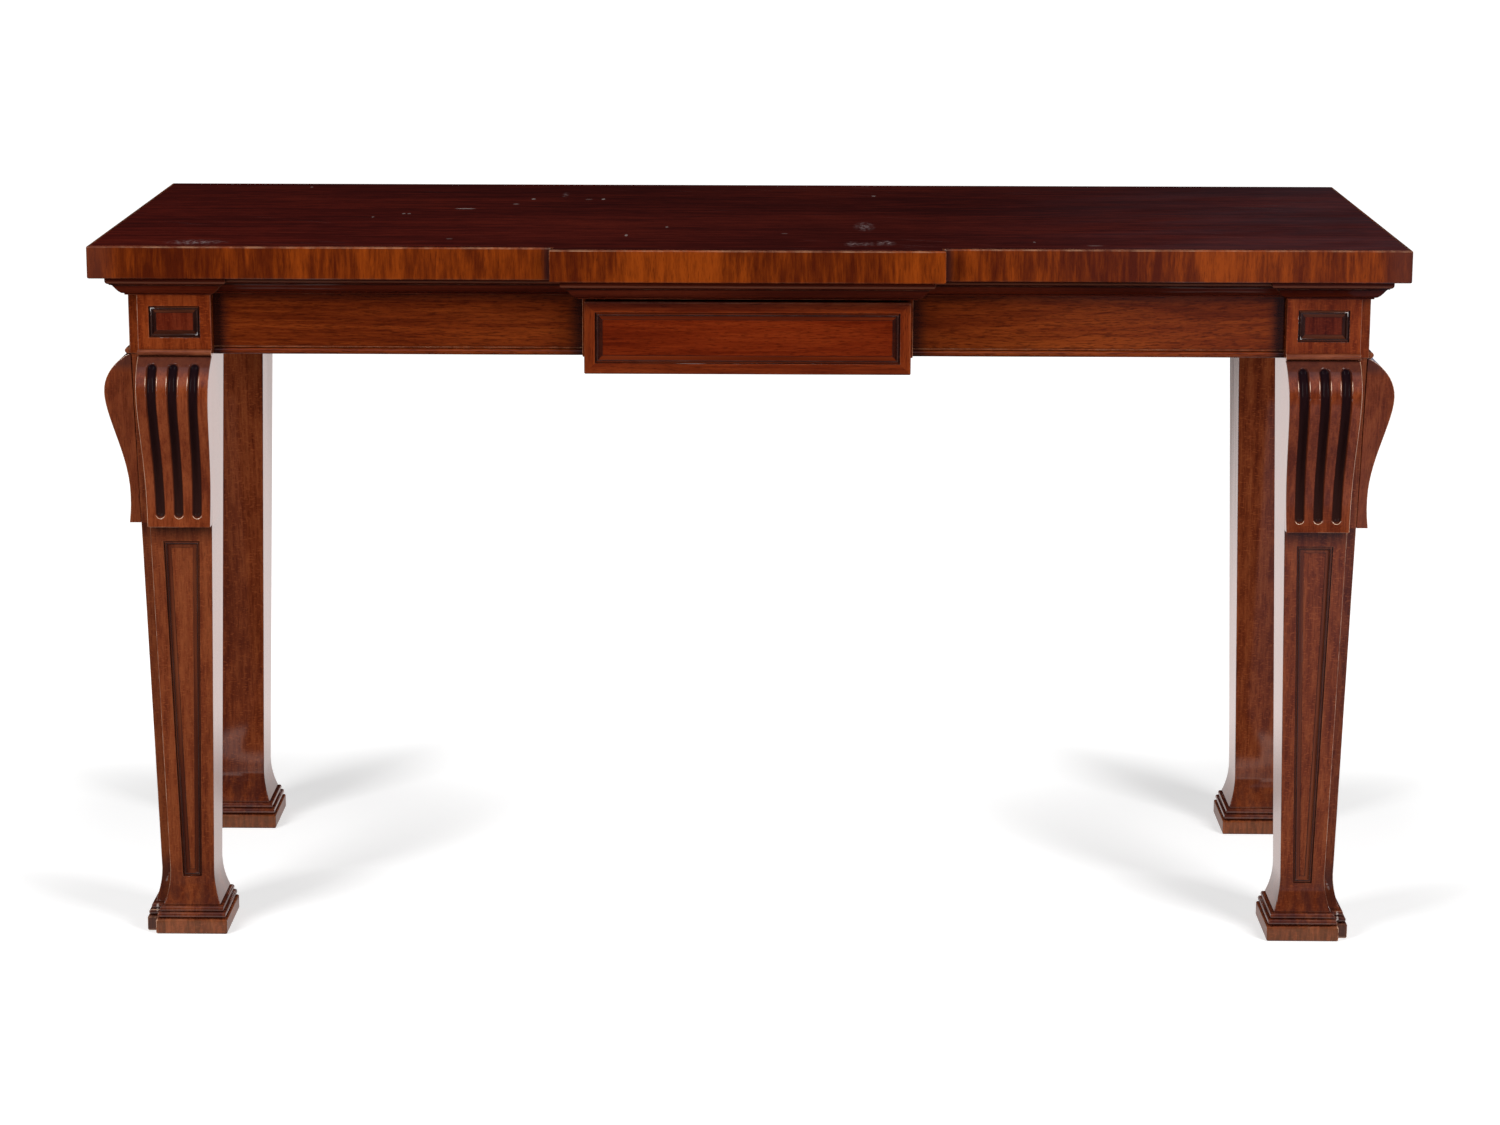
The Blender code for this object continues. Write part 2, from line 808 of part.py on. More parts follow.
def make_drawer(materials, parent):
    """The drawer: its front is the centre tablet, and the box behind it is grooved for its bottom."""
    half = drawer_front_width / 2
    front = box("drawer_front", (-half, tablet_front_y, drawer_front_bottom_z),
                (half, tablet_back_y, drawer_front_top_z), materials["tablet"], parent)
    ease(front, drawer_front_arris)

    def place(u, out, z):
        return (u, tablet_front_y - out, z)

    u = half - drawer_panel_margin
    low = drawer_front_bottom_z + drawer_panel_margin
    high = drawer_front_top_z - drawer_panel_margin
    corners = [(-u, low), (u, low), (u, high), (-u, high)]
    points, faces = pocket_shape(place, corners, lambda z: 0)
    cut(front, "cut_drawer_front_panel", points, faces)
    points, faces = frame_shape(place, corners, lambda z: 0, drawer_moulding_width)
    origin = (0, tablet_front_y, drawer_front_bottom_z)
    round_off(piece("drawer_front_moulding", points, faces, materials["glazed"], origin, parent))

    groove_low = drawer_box_bottom_z + drawer_bottom_lift
    groove_high = groove_low + drawer_bottom_thickness + touch_gap * 2
    inner_x = drawer_box_half - drawer_side_thickness
    groove_x = inner_x + drawer_groove_depth
    points, faces = box_shape((-groove_x, tablet_back_y - drawer_groove_depth, groove_low),
                              (groove_x, tablet_back_y + cut_overrun, groove_high))
    cut(front, "cut_drawer_front_groove", points, faces)
    side_front_y = tablet_back_y + touch_gap
    section = [
        (drawer_box_half, drawer_box_bottom_z),
        (drawer_box_half, drawer_box_top_z),
        (inner_x, drawer_box_top_z),
        (inner_x, groove_high),
        (groove_x, groove_high),
        (groove_x, groove_low),
        (inner_x, groove_low),
        (inner_x, drawer_box_bottom_z),
    ]
    for word, side in sides.items():
        rings = [[(side * x, y, z) for x, z in section] for y in (side_front_y, drawer_box_back_y)]
        points, faces = loft_shape(rings)
        piece("drawer_side_" + word, points, faces, materials["lining"],
              (side * drawer_box_half, side_front_y, drawer_box_bottom_z), parent)
    fit = touch_gap
    box("drawer_bottom", (-groove_x + fit, tablet_back_y - drawer_groove_depth + fit, groove_low + fit),
        (groove_x - fit, drawer_box_back_y, groove_high - fit), materials["lining"], parent)
    box("drawer_back", (-inner_x + fit, drawer_box_back_y - drawer_back_thickness, groove_high),
        (inner_x - fit, drawer_box_back_y, drawer_box_top_z - drawer_back_low), materials["lining"], parent)


def make_drawer_way(materials, parent):
    """The runners that the drawer slides on, with their guides, and the kickers above it."""
    front_y = rail_back_y + touch_gap
    back_y = back_rail_front_y - touch_gap
    guide_x = opening_width / 2
    inner_x = guide_x - runner_width
    outer_x = guide_x + guide_thickness
    top = lower_rail_top_z
    section = [
        (inner_x, top - runner_thickness),
        (outer_x, top - runner_thickness),
        (outer_x, top + guide_height),
        (guide_x, top + guide_height),
        (guide_x, top),
        (inner_x, top),
    ]
    for word, side in sides.items():
        rings = [[(side * x, y, z) for x, z in section] for y in (front_y, back_y)]
        points, faces = loft_shape(rings)
        piece("drawer_runner_" + word, points, faces, materials["lining"],
              (side * guide_x, front_y, top), parent)
        near, far = sorted((side * guide_x, side * (guide_x - kicker_width)))
        box("drawer_kicker_" + word, (near, front_y, bed_mould_bottom_z), (far, back_y, block_top_z),
            materials["lining"], parent)


def corner_brace(name, side, rail_y, leg_y, ahead, material, parent):
    """A board notched round a leg's inner corner, tying two rails together under the top.

    ahead is 1 where the leg's free face looks back and -1 where it looks forward.
    """
    inner_x = block_inner_x - touch_gap
    rail_x = side_frieze_x - rail_thickness - touch_gap
    rail_face = rail_y + ahead * touch_gap
    leg_face = leg_y + ahead * (block_half + touch_gap)
    depth = abs(leg_face - rail_face)
    outline = [
        (inner_x - depth - brace_web, rail_face),
        (inner_x, rail_face),
        (inner_x, leg_face),
        (rail_x, leg_face),
        (rail_x, leg_face + ahead * (rail_x - inner_x + brace_web)),
    ]
    rings = [[(side * x, y, z) for x, y in outline] for z in (block_top_z - brace_thickness, block_top_z)]
    points, faces = loft_shape(rings)
    piece(name, points, faces, material, (side * inner_x, leg_face, block_top_z), parent)


def make_braces(materials, parent):
    """A brace in each corner of the frame."""
    for word, side in sides.items():
        corner_brace("corner_brace_front_" + word, side, rail_back_y, front_leg_y, 1,
                     materials["lining"], parent)
        corner_brace("corner_brace_rear_" + word, side, back_rail_front_y, rear_leg_y, -1,
                     materials["lining"], parent)


def make_table():
    """Builds every piece of the table."""
    clear_scene()
    materials = {
        "top": wood("mahogany_top", (0.10, 0.022, 0.012), 0.18),
        "band": wood("mahogany_cross_band", (0.30, 0.085, 0.020), 0.25),
        "mahogany": wood("mahogany", (0.22, 0.050, 0.018), 0.28),
        "moulding": wood("mahogany_moulding", (0.16, 0.034, 0.014), 0.28),
        "tablet": wood("mahogany_tablet", (0.24, 0.042, 0.012), 0.25),
        "glazed": wood("dark_glazed_moulding", (0.020, 0.012, 0.014), 0.22),
        "lining": wood("drawer_lining", (0.42, 0.27, 0.14), 0.55),
    }
    table = empty("table", (0, 0, 0))
    make_top(materials, table)
    make_bed_mouldings(materials, table)
    make_legs(materials, table)
    make_frieze(materials, table)
    make_drawer_opening(materials, table)
    make_drawer_way(materials, table)
    make_braces(materials, table)
    drawer = empty("drawer", (0, tablet_front_y, drawer_box_bottom_z))
    make_drawer(materials, drawer)


make_table()
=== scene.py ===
"""Looks of the mahogany serving table: its wood, polish and wear, the studio and the camera.

Metres, +Z up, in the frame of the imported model. The front faces -Y and left means -X.
Every wood is worked out from its place in the model, so the grain runs through each piece.
"""

import math

import bpy
from mathutils import Euler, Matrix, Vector


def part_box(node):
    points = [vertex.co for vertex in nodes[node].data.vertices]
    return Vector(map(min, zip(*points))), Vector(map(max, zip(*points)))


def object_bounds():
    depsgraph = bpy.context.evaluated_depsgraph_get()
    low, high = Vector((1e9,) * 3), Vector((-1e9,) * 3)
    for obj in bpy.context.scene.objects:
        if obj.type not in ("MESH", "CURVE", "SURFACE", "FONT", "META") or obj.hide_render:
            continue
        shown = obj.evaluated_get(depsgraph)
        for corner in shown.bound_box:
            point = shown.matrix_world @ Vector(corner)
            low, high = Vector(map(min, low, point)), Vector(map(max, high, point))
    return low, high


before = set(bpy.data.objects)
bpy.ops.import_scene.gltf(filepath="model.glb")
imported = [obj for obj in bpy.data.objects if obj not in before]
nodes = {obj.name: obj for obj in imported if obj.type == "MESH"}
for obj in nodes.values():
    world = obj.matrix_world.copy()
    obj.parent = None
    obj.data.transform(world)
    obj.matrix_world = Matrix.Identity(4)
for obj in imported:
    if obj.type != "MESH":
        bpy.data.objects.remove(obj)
cad_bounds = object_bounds()

# The camera, fitted to the corners of the top and the feet in the photograph
photo_width = 1500
camera_place = (0.0297, -4.5404, 1.4869)
camera_pitch = 0.1955
camera_yaw = 0.0168
camera_roll = -0.0012
camera_focal_pixels = 3522
camera_shift = (0.024, -0.08)
sensor_width = 36.0
camera_sight = 240.0

# The lamps, with their power in watts, and the little light from all around
lamp_side = 2.40
lamp_front = -2.45
lamp_height = 2.35
lamp_size = (1.00, 2.50)
lamp_aim = (0.0, -0.20, 0.45)
lamp_power = {"left": 106.0, "right": 114.0}
back_lamp_place = (0.0, 3.40, 2.10)
back_lamp_size = (2.50, 1.00)
back_lamp_power = 75.0
fill_strength = 0.10
white = (1.0, 1.0, 1.0)

# The floor, and how it is mirrored beside the feet
floor_reach = 60.0
floor_white = 1.0
floor_mirror = 1.15
floor_mirror_tint = (1.0, 0.87, 0.84)
floor_mirror_loss = 0.9
floor_tone = 0.55
floor_shadow_share = 0.60
floor_base_light = 0.56
floor_near = 0.16
floor_far = 0.62
foot_mirror_ends = (0.095, 0.1235)

# The mirrored bands of the floor. An edge has its place at y = 0, and comes in with each metre of y.
mirror_band_inner = (0.616, 0.162)
mirror_band_outer = (0.690, 0.1456)
mirror_band_edge = (0.03, 0.10)
mirror_band_front = (-0.20, 0.05)
mirror_band_ends = (5.6, 6.6)

# The haze and the dim room that the polish mirrors
haze_ends = (0.50, 1.15)
haze_front_ends = (-3.2, -2.0)
haze_far_share = 0.35
haze = 0.95
haze_colour = (0.24, 0.26, 0.36)
room_tone = (0.004, 0.004, 0.0045)
room_sheen = (0.013, 0.014, 0.019)
room_sheen_ends = (0.02, 0.30)
room_ceiling = (0.50, 0.46, 0.56)
ceiling_rise_ends = (0.30, 0.62)
ceiling_front_ends = (0.05, -0.35)

# Painted shadows on the frieze and on the cross-banding beside its steps, painted shade in the bed moulding's
# quirk and a painted highlight on its nosing, and the cross-banding's darker corners. Other pieces use this
# shade colour too.
shade_colour = (0.0105, 0.0034, 0.0034)
# Painted shadows on the frieze beside the blocks and the tablet, and under the bed moulding
frieze_shadow_reach = (0.006, 0.026)
frieze_shadow = 0.82
frieze_top_reach = (0.0, 0.014)
frieze_top_shadow = 0.50
# Painted shadow on the cross-banding beside each step, cast by the middle that stands forward
step_shadow_reach = (0.003, 0.013)
step_shadow = 0.80
step_shadow_colour = (0.026, 0.0085, 0.0090)
corner_stain_reach = (0.006, 0.040)
corner_stain = 0.60
corner_colour = (0.060, 0.0170, 0.0130)
lower_arris_share = 0.10
# A painted highlight along the bed moulding's nosing, and painted shade in its quirk
nosing_share = 0.25
nosing_reach_share = 0.09
nosing_highlight = 0.50
nosing_highlight_colour = (0.190, 0.070, 0.040)
quirk_share = 0.42
quirk_reach_share = 0.10
mould_quirk_shade = 0.80

# Corner blocks, and the panels with their mouldings
block_tint = (1.02, 0.79, 0.54)
block_tint_edge = 0.004
block_panel_tint = (0.60, 0.50, 0.85)
panel_spare_margin = 0.0015
panel_spare = 0.90
# Painted shade on the upright lengths of the panel mouldings
upright_shade = 0.80
leg_upright_shade = 0.12
# Painted shade in the quirks of the panel mouldings and along their inner edges
quirk_places = (0.0, 0.0028)
quirk_width = 0.0009
panel_moulding_width = 0.0086
tablet_moulding_width = 0.0092
panel_quirk_shade = 0.90

# The feet, and the notch of the front legs
notch_size = 0.0127
flare_foot = 0.0355
ankle_height = 0.080
ankle_near = 0.0216
foot_rub = 0.12
# The heights near the foot where the notch is darker and its edge gets painted glints
notch_ends = (0.105, 0.075)
notch_glint = 0.80
notch_glint_reach = 0.0025
# The notch is darker near the foot
notch_darkening = 0.60
notch_darkening_edge = 0.0010
notch_colour = (0.034, 0.0120, 0.0110)
notch_back_margin = (-0.007, -0.004)
# Painted glints along the inner edge of the notch, above the plinth
edge_glint_ends = (0.076, 0.050)
edge_glint_reach = (0.0006, 0.0018)
notch_edge_glints = 0.85
edge_glint_colour = (0.640, 0.560, 0.520)
plinth_height = 0.0195
plinth_edge = 0.0012
plinth_paler = 0.26
plinth_dullness = 0.50
plinth_colour = (0.230, 0.080, 0.022)
plinth_streaks = (0.55, 1.25)
flare_ends = (0.050, 0.105)
flare_darker = 0.72
flare_least = 0.15
flare_colour = (0.036, 0.0090, 0.0080)

# The brackets and their flutes, and the leg round them
# Painted shade inside the flutes, nearly black at their heads and brown at their feet
flute_head_colour = (0.0040, 0.0022, 0.0042)
flute_foot_colour = (0.0230, 0.0090, 0.0075)
flute_width = 0.0140
flute_pitch_share = 0.289
flute_line_reach = 0.0025
flute_end_margin = 0.006
flute_shade_edge = 0.0024
flute_shade_share = 0.97
flute_dullness = 1.0
bracket_head_reach = (0.010, 0.024)
bracket_head_darkening = 0.68
bracket_head_colour = (0.050, 0.0180, 0.0150)
lip_margin = 0.0012
lip_reach = 0.0024
# Painted highlights on the flutes' lips, at the shoulder and at the flutes' feet
flute_foot_highlight_reach = 0.0048
shoulder_height = 0.7200
shoulder_highlight_reach = (0.002, 0.0075)
shoulder_highlight = 1.0
flute_foot_highlight = 0.75
inner_arris_share = 0.20
seat_margin = 0.0025
covered_share = 0.08
toe_arris_share = 0.35
# Painted shade on a front leg under its bracket
under_bracket_reach = (0.0, 0.034)
under_bracket_shade = 0.50

# The tablet's border
tablet_margin = 0.0133
tablet_margin_edge = 0.0004
tablet_border_seed = 77
# Painted shadow along the top edge of the tablet's border
tablet_top_reach = (0.0, 0.014)
tablet_top_shadow = 0.66

# The top
table_height = cad_bounds[1].z
scuff_colour = (0.420, 0.320, 0.320)
mark_depth = 0.010
scuff_core = 0.2
scratch_slant = 0.35
scratch_share = 0.30
nick_core = 0.5
nick_colour = (0.560, 0.460, 0.430)
# A cloudy painted sheen on the right of the top
top_sheen_colour = (0.240, 0.200, 0.250)
top_sheen_ends = (0.20, 0.74)
top_sheen = 0.10
top_sheen_least = 0.25
top_sheen_slant = 0.30
warm_ends = (0.05, -0.70)
warm_tint = (1.34, 1.22, 1.10)

# Marks of the top: the middle along X and Y, the reach along X and Y, and the strength
top_scuffs = (
    (-0.6775, -0.2653, 0.0460, 0.0270, 0.90),
    (-0.6793, -0.2620, 0.0120, 0.0210, 1.00),
    (0.1464, -0.1030, 0.0160, 0.0560, 0.80),
    (0.1291, -0.2626, 0.0140, 0.0260, 0.90),
    (0.1689, -0.2539, 0.0150, 0.0290, 0.90),
    (0.1476, -0.2624, 0.0280, 0.0210, 0.60),
    (-0.2504, 0.2079, 0.0060, 0.0340, 0.80),
)
top_nicks = (
    (-0.4500, 0.0082, 0.0028, 0.0060, 0.60),
    (-0.4430, 0.0082, 0.0028, 0.0060, 0.50),
    (-0.3741, 0.0606, 0.0160, 0.0045, 0.85),
    (-0.3107, 0.1091, 0.0050, 0.0080, 0.35),
    (-0.2911, 0.1625, 0.0034, 0.0075, 0.90),
    (-0.1972, 0.1631, 0.0030, 0.0075, 0.90),
    (-0.1520, -0.1908, 0.0024, 0.0110, 0.65),
    (-0.1036, -0.1129, 0.0024, 0.0080, 0.45),
    (-0.3692, -0.2276, 0.0050, 0.0050, 0.22),
    (0.1669, 0.2055, 0.0036, 0.0065, 0.65),
    (-0.6055, 0.2845, 0.0024, 0.0065, 0.45),
    (-0.4863, -0.0260, 0.0020, 0.0075, 0.40),
    (0.4238, -0.2703, 0.0120, 0.0040, 0.30),
    (0.0452, -0.1702, 0.0050, 0.0045, 0.25),
    (-0.2167, 0.1609, 0.0060, 0.0060, 0.25),
    (0.3520, -0.2408, 0.0020, 0.0070, 0.35),
)

# Noises. The cells are for each metre, along the grain and twice across it, or along X, Y and Z.
# Between its two ends a noise becomes a pattern that goes from none to full.
sway_noise = dict(cells=(0.9, 3.5, 3.5), detail=1.0)
ribbon_noise = dict(detail=2.0, roughness=0.55, distortion=0.25, ends=(0.30, 0.70))
fine_ribbon_noise = dict(detail=2.0, roughness=0.60, ends=(0.30, 0.70))
drift_noise = dict(cells=(1.7, 5.0, 5.0), detail=2.0, ends=(0.30, 0.70))
mottle_noise = dict(cells=(26.0, 85.0, 85.0), detail=3.0, roughness=0.65, ends=(0.30, 0.70))
fibre_noise = dict(cells=(16.0, 760.0, 760.0), detail=3.0, roughness=0.60)
pore_noise = dict(cells=(95.0, 1500.0, 1500.0), detail=1.0, ends=(0.57, 0.68))
dash_noise = dict(cells=(48.0, 520.0, 520.0), detail=2.0, roughness=0.60, ends=(0.50, 0.66))
ray_noise = dict(cells=(620.0, 190.0, 190.0), detail=1.0, ends=(0.56, 0.70))
smoke_noise = dict(cells=(2.6, 9.0, 9.0), detail=3.0, roughness=0.60, ends=(0.48, 0.72))
smudge_noise = dict(cells=(7.0, 22.0, 22.0), detail=3.0, roughness=0.65, ends=(0.30, 0.70))
ripple_noise = dict(cells=(5.0, 28.0, 28.0), detail=2.0)
wear_noise = dict(cells=(38.0, 38.0, 38.0), detail=4.0, roughness=0.70, ends=(0.38, 0.66))
notch_glint_noise = dict(cells=(60.0, 60.0, 160.0), detail=3.0, roughness=0.70, ends=(0.42, 0.54))
edge_glint_noise = dict(cells=(90.0, 90.0, 150.0), detail=3.0, roughness=0.70, ends=(0.47, 0.56))
flare_noise = dict(cells=(60.0, 60.0, 22.0), detail=3.0, roughness=0.60, ends=(0.34, 0.62))
plinth_noise = dict(cells=(230.0, 230.0, 40.0), detail=3.0, roughness=0.65, ends=(0.36, 0.64))
scuff_noise = dict(cells=(170.0, 90.0, 1.0), detail=5.0, roughness=0.75, ends=(0.44, 0.66))
cloud_noise = dict(cells=(4.0, 13.0, 1.0), detail=4.0, roughness=0.62, ends=(0.34, 0.66))
scratch_noise = dict(cells=(9.0, 520.0, 1.0), detail=1.0, ends=(0.70, 0.76))
scratched_noise = dict(cells=(3.0, 5.0, 1.0), detail=2.0, ends=(0.50, 0.64))

# Worked edges
weld_distance = 0.00002
flat_angle = math.radians(0.4)
arris_angle = math.radians(32.0)
arris_rounds = 2

# Pieces cut from another part of the plank, for a paler or darker one
seed_steps = {"leg_front_right": 100}

sides = {"left": -1, "right": 1}


class Tree:
    """Adds nodes to a node tree and joins them. A value is a number, a tuple or another node's output."""

    def __init__(self, tree):
        self.tree = tree
        tree.nodes.clear()

    def node(self, kind, inputs=None, **settings):
        made = self.tree.nodes.new(kind)
        for key, value in settings.items():
            setattr(made, key, value)
        for key, value in (inputs or {}).items():
            self.feed(made.inputs[key], value)
        return made

    def feed(self, socket, value):
        if isinstance(value, bpy.types.NodeSocket):
            self.tree.links.new(value, socket)
        else:
            socket.default_value = value

    def maths(self, operation, a, b=0.0, c=0.0):
        return self.node("ShaderNodeMath", {0: a, 1: b, 2: c}, operation=operation).outputs[0]

    def vector(self, operation, a, b):
        return self.node("ShaderNodeVectorMath", {0: a, 1: b}, operation=operation).outputs[0]

    def parts(self, vector):
        return self.node("ShaderNodeSeparateXYZ", {0: vector}).outputs

    def together(self, x, y, z):
        return self.node("ShaderNodeCombineXYZ", {0: x, 1: y, 2: z}).outputs[0]

    def mix(self, share, a, b, blend="MIX"):
        made = self.node("ShaderNodeMix", {0: share, 6: a, 7: b}, data_type="RGBA", blend_type=blend)
        return made.outputs[2]

    def blend_values(self, share, a, b):
        return self.node("ShaderNodeMix", {0: share, 2: a, 3: b}, data_type="FLOAT").outputs[0]

    def line(self, value, low, high, to_low=0.0, to_high=1.0, shape="LINEAR"):
        """Turns low into to_low and high into to_high, and stays within them."""
        inputs = {0: value, 1: low, 2: high, 3: to_low, 4: to_high}
        return self.node("ShaderNodeMapRange", inputs, interpolation_type=shape).outputs[0]

    def spread(self, value, low, high, to_low=0.0, to_high=1.0):
        return self.line(value, low, high, to_low, to_high, "SMOOTHSTEP")

    def length(self, vector):
        return self.node("ShaderNodeVectorMath", {0: vector}, operation="LENGTH").outputs["Value"]

    def turn(self, place, angle):
        """The place turned about the vertical."""
        inputs = {"Vector": place, "Angle": angle}
        return self.node("ShaderNodeVectorRotate", inputs, rotation_type="Z_AXIS").outputs[0]

    def noise(self, place, cells, detail=2.0, roughness=0.5, distortion=0.0):
        inputs = {
            "Vector": self.vector("MULTIPLY", place, cells),
            "Scale": 1.0,
            "Detail": detail,
            "Roughness": roughness,
            "Distortion": distortion,
        }
        return self.node("ShaderNodeTexNoise", inputs).outputs[0]

    def pattern(self, place, noise, to_low=0.0, to_high=1.0):
        """A soft step between the two ends of a noise."""
        kind = dict(noise)
        ends = kind.pop("ends")
        return self.spread(self.noise(place, **kind), *ends, to_low, to_high)

    def ramp(self, value, stops):
        made = self.node("ShaderNodeValToRGB", {0: value})
        line = made.color_ramp
        line.interpolation = "B_SPLINE"
        while len(line.elements) < len(stops):
            line.elements.new(1.0)
        for element, (position, colour) in zip(line.elements, stops):
            element.position = position
            element.color = (*colour, 1.0)
        return made.outputs[0]


def opaque(colour):
    return (*colour, 1.0)


def tinted(values, gain):
    return tuple(value * gain for value in values)


# Wood

smudge_roughness = (-0.06, 0.08)
fibre_height = 0.35
pore_depth = 0.80
relief_distance = 0.00025
ripple_distance = 0.02
fine_ribbons = 3.4
grain_sway = 0.05
tone_stops = (0.12, 0.50, 0.88)
deep_tint = 0.45
dash_tint = 0.60
ray_tint = 1.25
# Painted shade in inner corners, from ambient occlusion
grime_tint = 0.30
grime_ends = (0.90, 0.35)
grime_samples = 6
seed_shift = (0.731, 1.177, 0.913)
grain_orders = {"x": (0, 1, 2), "y": (1, 2, 0), "z": (2, 0, 1)}

mahogany = {
    "grain": "x",
    "dark": (0.050, 0.0072, 0.0026),
    "mid": (0.116, 0.0190, 0.0052),
    "light": (0.190, 0.0390, 0.0105),
    "ribbon_width": 0.016,
    "ribbon": 0.55,
    "ribbon_run": 1.3,
    "fine_ribbon": 0.25,
    "fine_run": 3.0,
    "dashes": 0.0,
    "fibre": 0.30,
    "drift": 0.45,
    "pores": 0.45,
    "rays": 0.0,
    "smoke": 0.25,
    # The share and reach of the painted shade in inner corners
    "grime": 0.60,
    "grime_reach": 0.006,
    "roughness": 0.50,
    "polish": 0.07,
    "coat": 1.0,
    "coat_ior": 1.5,
    "specular": 0.0,
    "ripple": 0.004,
    "relief": 0.12,
    "rub": 0.65,
    "rub_least": 0.15,
    "mottle": 0.0,
    "worn": (0.40, 0.190, 0.105),
    "arris": 0.0005,
}


def grain_place(t, grain, seed):
    """The place in the wood, with the grain along its first axis and a shift for each piece."""
    place = t.node("ShaderNodeTexCoord").outputs["Object"]
    parts = t.parts(place)
    turned = t.together(*(parts[i] for i in grain_orders[grain]))
    moved = t.vector("ADD", turned, tinted(seed_shift, seed))
    sway = t.noise(moved, **sway_noise)
    drift = t.maths("MULTIPLY_ADD", sway, grain_sway, -grain_sway / 2)
    return t.vector("ADD", moved, t.together(0.0, drift, drift)), place


def figure(t, grained, look):
    """The tone of the wood from 0 to 1, and its pores and fibres."""
    wide = 1.0 / look["ribbon_width"]
    fine = wide * fine_ribbons
    noises = {
        "ribbon": dict(ribbon_noise, cells=(look["ribbon_run"], wide, wide)),
        "fine_ribbon": dict(fine_ribbon_noise, cells=(look["fine_run"], fine, fine)),
        "drift": drift_noise,
        "mottle": mottle_noise,
    }
    tone = 0.5
    for key, noise in noises.items():
        if look[key]:
            tone = t.maths("MULTIPLY_ADD", t.pattern(grained, noise, -0.5, 0.5), look[key], tone)
    fibre = t.noise(grained, **fibre_noise)
    tone = t.maths("MULTIPLY_ADD", t.maths("SUBTRACT", fibre, 0.5), look["fibre"], tone)
    return tone, t.pattern(grained, pore_noise), fibre


def mixed_colour(t, grained, look, tone, pores):
    """The colour of the wood, with its pores, short dark dashes, pale rays and smoky patches."""
    colours = (look["dark"], look["mid"], look["light"])
    colour = t.ramp(tone, tuple(zip(tone_stops, colours)))
    deep = tinted(look["dark"], deep_tint)
    layers = [(pores, look["pores"], deep)]
    if look["dashes"]:
        layers.append((t.pattern(grained, dash_noise), look["dashes"], tinted(look["dark"], dash_tint)))
    if look["rays"]:
        layers.append((t.pattern(grained, ray_noise), look["rays"], tinted(look["light"], ray_tint)))
    layers.append((t.pattern(grained, smoke_noise), look["smoke"], deep))
    for pattern, strength, laid in layers:
        colour = t.mix(t.maths("MULTIPLY", pattern, strength), colour, opaque(laid))
    return colour


def grime_share(t, look):
    """Painted shade in inner corners, from ambient occlusion."""
    reach = {"Distance": look["grime_reach"]}
    shade = t.node("ShaderNodeAmbientOcclusion", reach, samples=grime_samples).outputs["AO"]
    return t.spread(shade, *grime_ends, 0.0, look["grime"])


def finish_wood(t, look, colour, coat, grained, pores, fibre):
    """The polished surface: a clear coat over the wood, its ripples, and the pores that show through it."""
    smooth, dull = (look["roughness"] + change for change in smudge_roughness)
    ripple = t.noise(grained, **ripple_noise)
    raised = t.maths("MULTIPLY_ADD", fibre, fibre_height, t.maths("MULTIPLY", pores, -pore_depth))
    bump = {"Strength": look["relief"], "Distance": relief_distance, "Height": raised}
    relief = t.node("ShaderNodeBump", bump).outputs[0]
    bump = {"Strength": look["ripple"], "Distance": ripple_distance, "Height": ripple}
    polished = t.node("ShaderNodeBump", bump).outputs[0]
    bumped = t.node("ShaderNodeBump", {**bump, "Normal": relief}).outputs[0]
    inputs = {
        "Base Color": colour,
        "Roughness": t.pattern(grained, smudge_noise, smooth, dull),
        "Specular IOR Level": look["specular"],
        "Coat Weight": coat,
        "Coat Roughness": look["polish"],
        "Coat IOR": look["coat_ior"],
        "Normal": bumped,
        "Coat Normal": polished,
    }
    surface = t.node("ShaderNodeBsdfPrincipled", inputs)
    t.node("ShaderNodeOutputMaterial", {"Surface": surface.outputs[0]})


def wood(name, look, seed, paint=None, rubbed=False, spare=None):
    """A wood material. paint(t, colour, place, name, coat) works over its colour and its coat's share.

    A rubbed one is for the arrises: paler in places, where the polish has worn through.
    spare(t, place, name, patches) changes how far they are worn, and adds painted highlights and glints on
    the brackets and the legs.
    """
    material = bpy.data.materials.new(name + "_arris" if rubbed else name)
    material.use_nodes = True
    t = Tree(material.node_tree)
    grained, place = grain_place(t, look["grain"], seed)
    tone, pores, fibre = figure(t, grained, look)
    colour = mixed_colour(t, grained, look, tone, pores)
    coat = look["coat"]
    if paint:
        colour, coat = paint(t, colour, place, name, coat)
    if rubbed:
        patches = t.pattern(place, wear_noise, look["rub_least"], look["rub"])
        if spare:
            patches = spare(t, place, name, patches)
        colour = t.mix(patches, colour, opaque(look["worn"]))
    else:
        # Painted shade in inner corners
        colour = t.mix(grime_share(t, look), colour, opaque(tinted(look["dark"], grime_tint)))
    finish_wood(t, look, colour, coat, grained, pores, fibre)
    return material


def look_of(base, **changes):
    return {**base, **changes}


top_look = look_of(
    mahogany,
    dark=(0.046, 0.0046, 0.0036),
    mid=(0.092, 0.0086, 0.0056),
    light=(0.158, 0.0180, 0.0092),
    ribbon_width=0.016,
    ribbon=0.30,
    fine_ribbon=0.34,
    fine_run=8.0,
    mottle=0.30,
    fibre=0.60,
    pores=0.45,
    smoke=0.2,
    polish=0.09,
    ripple=0.0015,
    relief=0.05,
    arris=0.0004,
)
band_look = look_of(
    mahogany,
    grain="z",
    dark=(0.062, 0.0080, 0.0020),
    mid=(0.126, 0.0196, 0.0024),
    light=(0.226, 0.0390, 0.0038),
    ribbon_width=0.017,
    ribbon=0.46,
    ribbon_run=8.0,
    fine_ribbon=0.34,
    fine_run=26.0,
    drift=0.60,
    smoke=0.15,
    dashes=0.10,
    mottle=0.20,
    rub=0.42,
    rub_least=0.05,
    worn=(0.46, 0.260, 0.150),
    arris=0.0006,
)
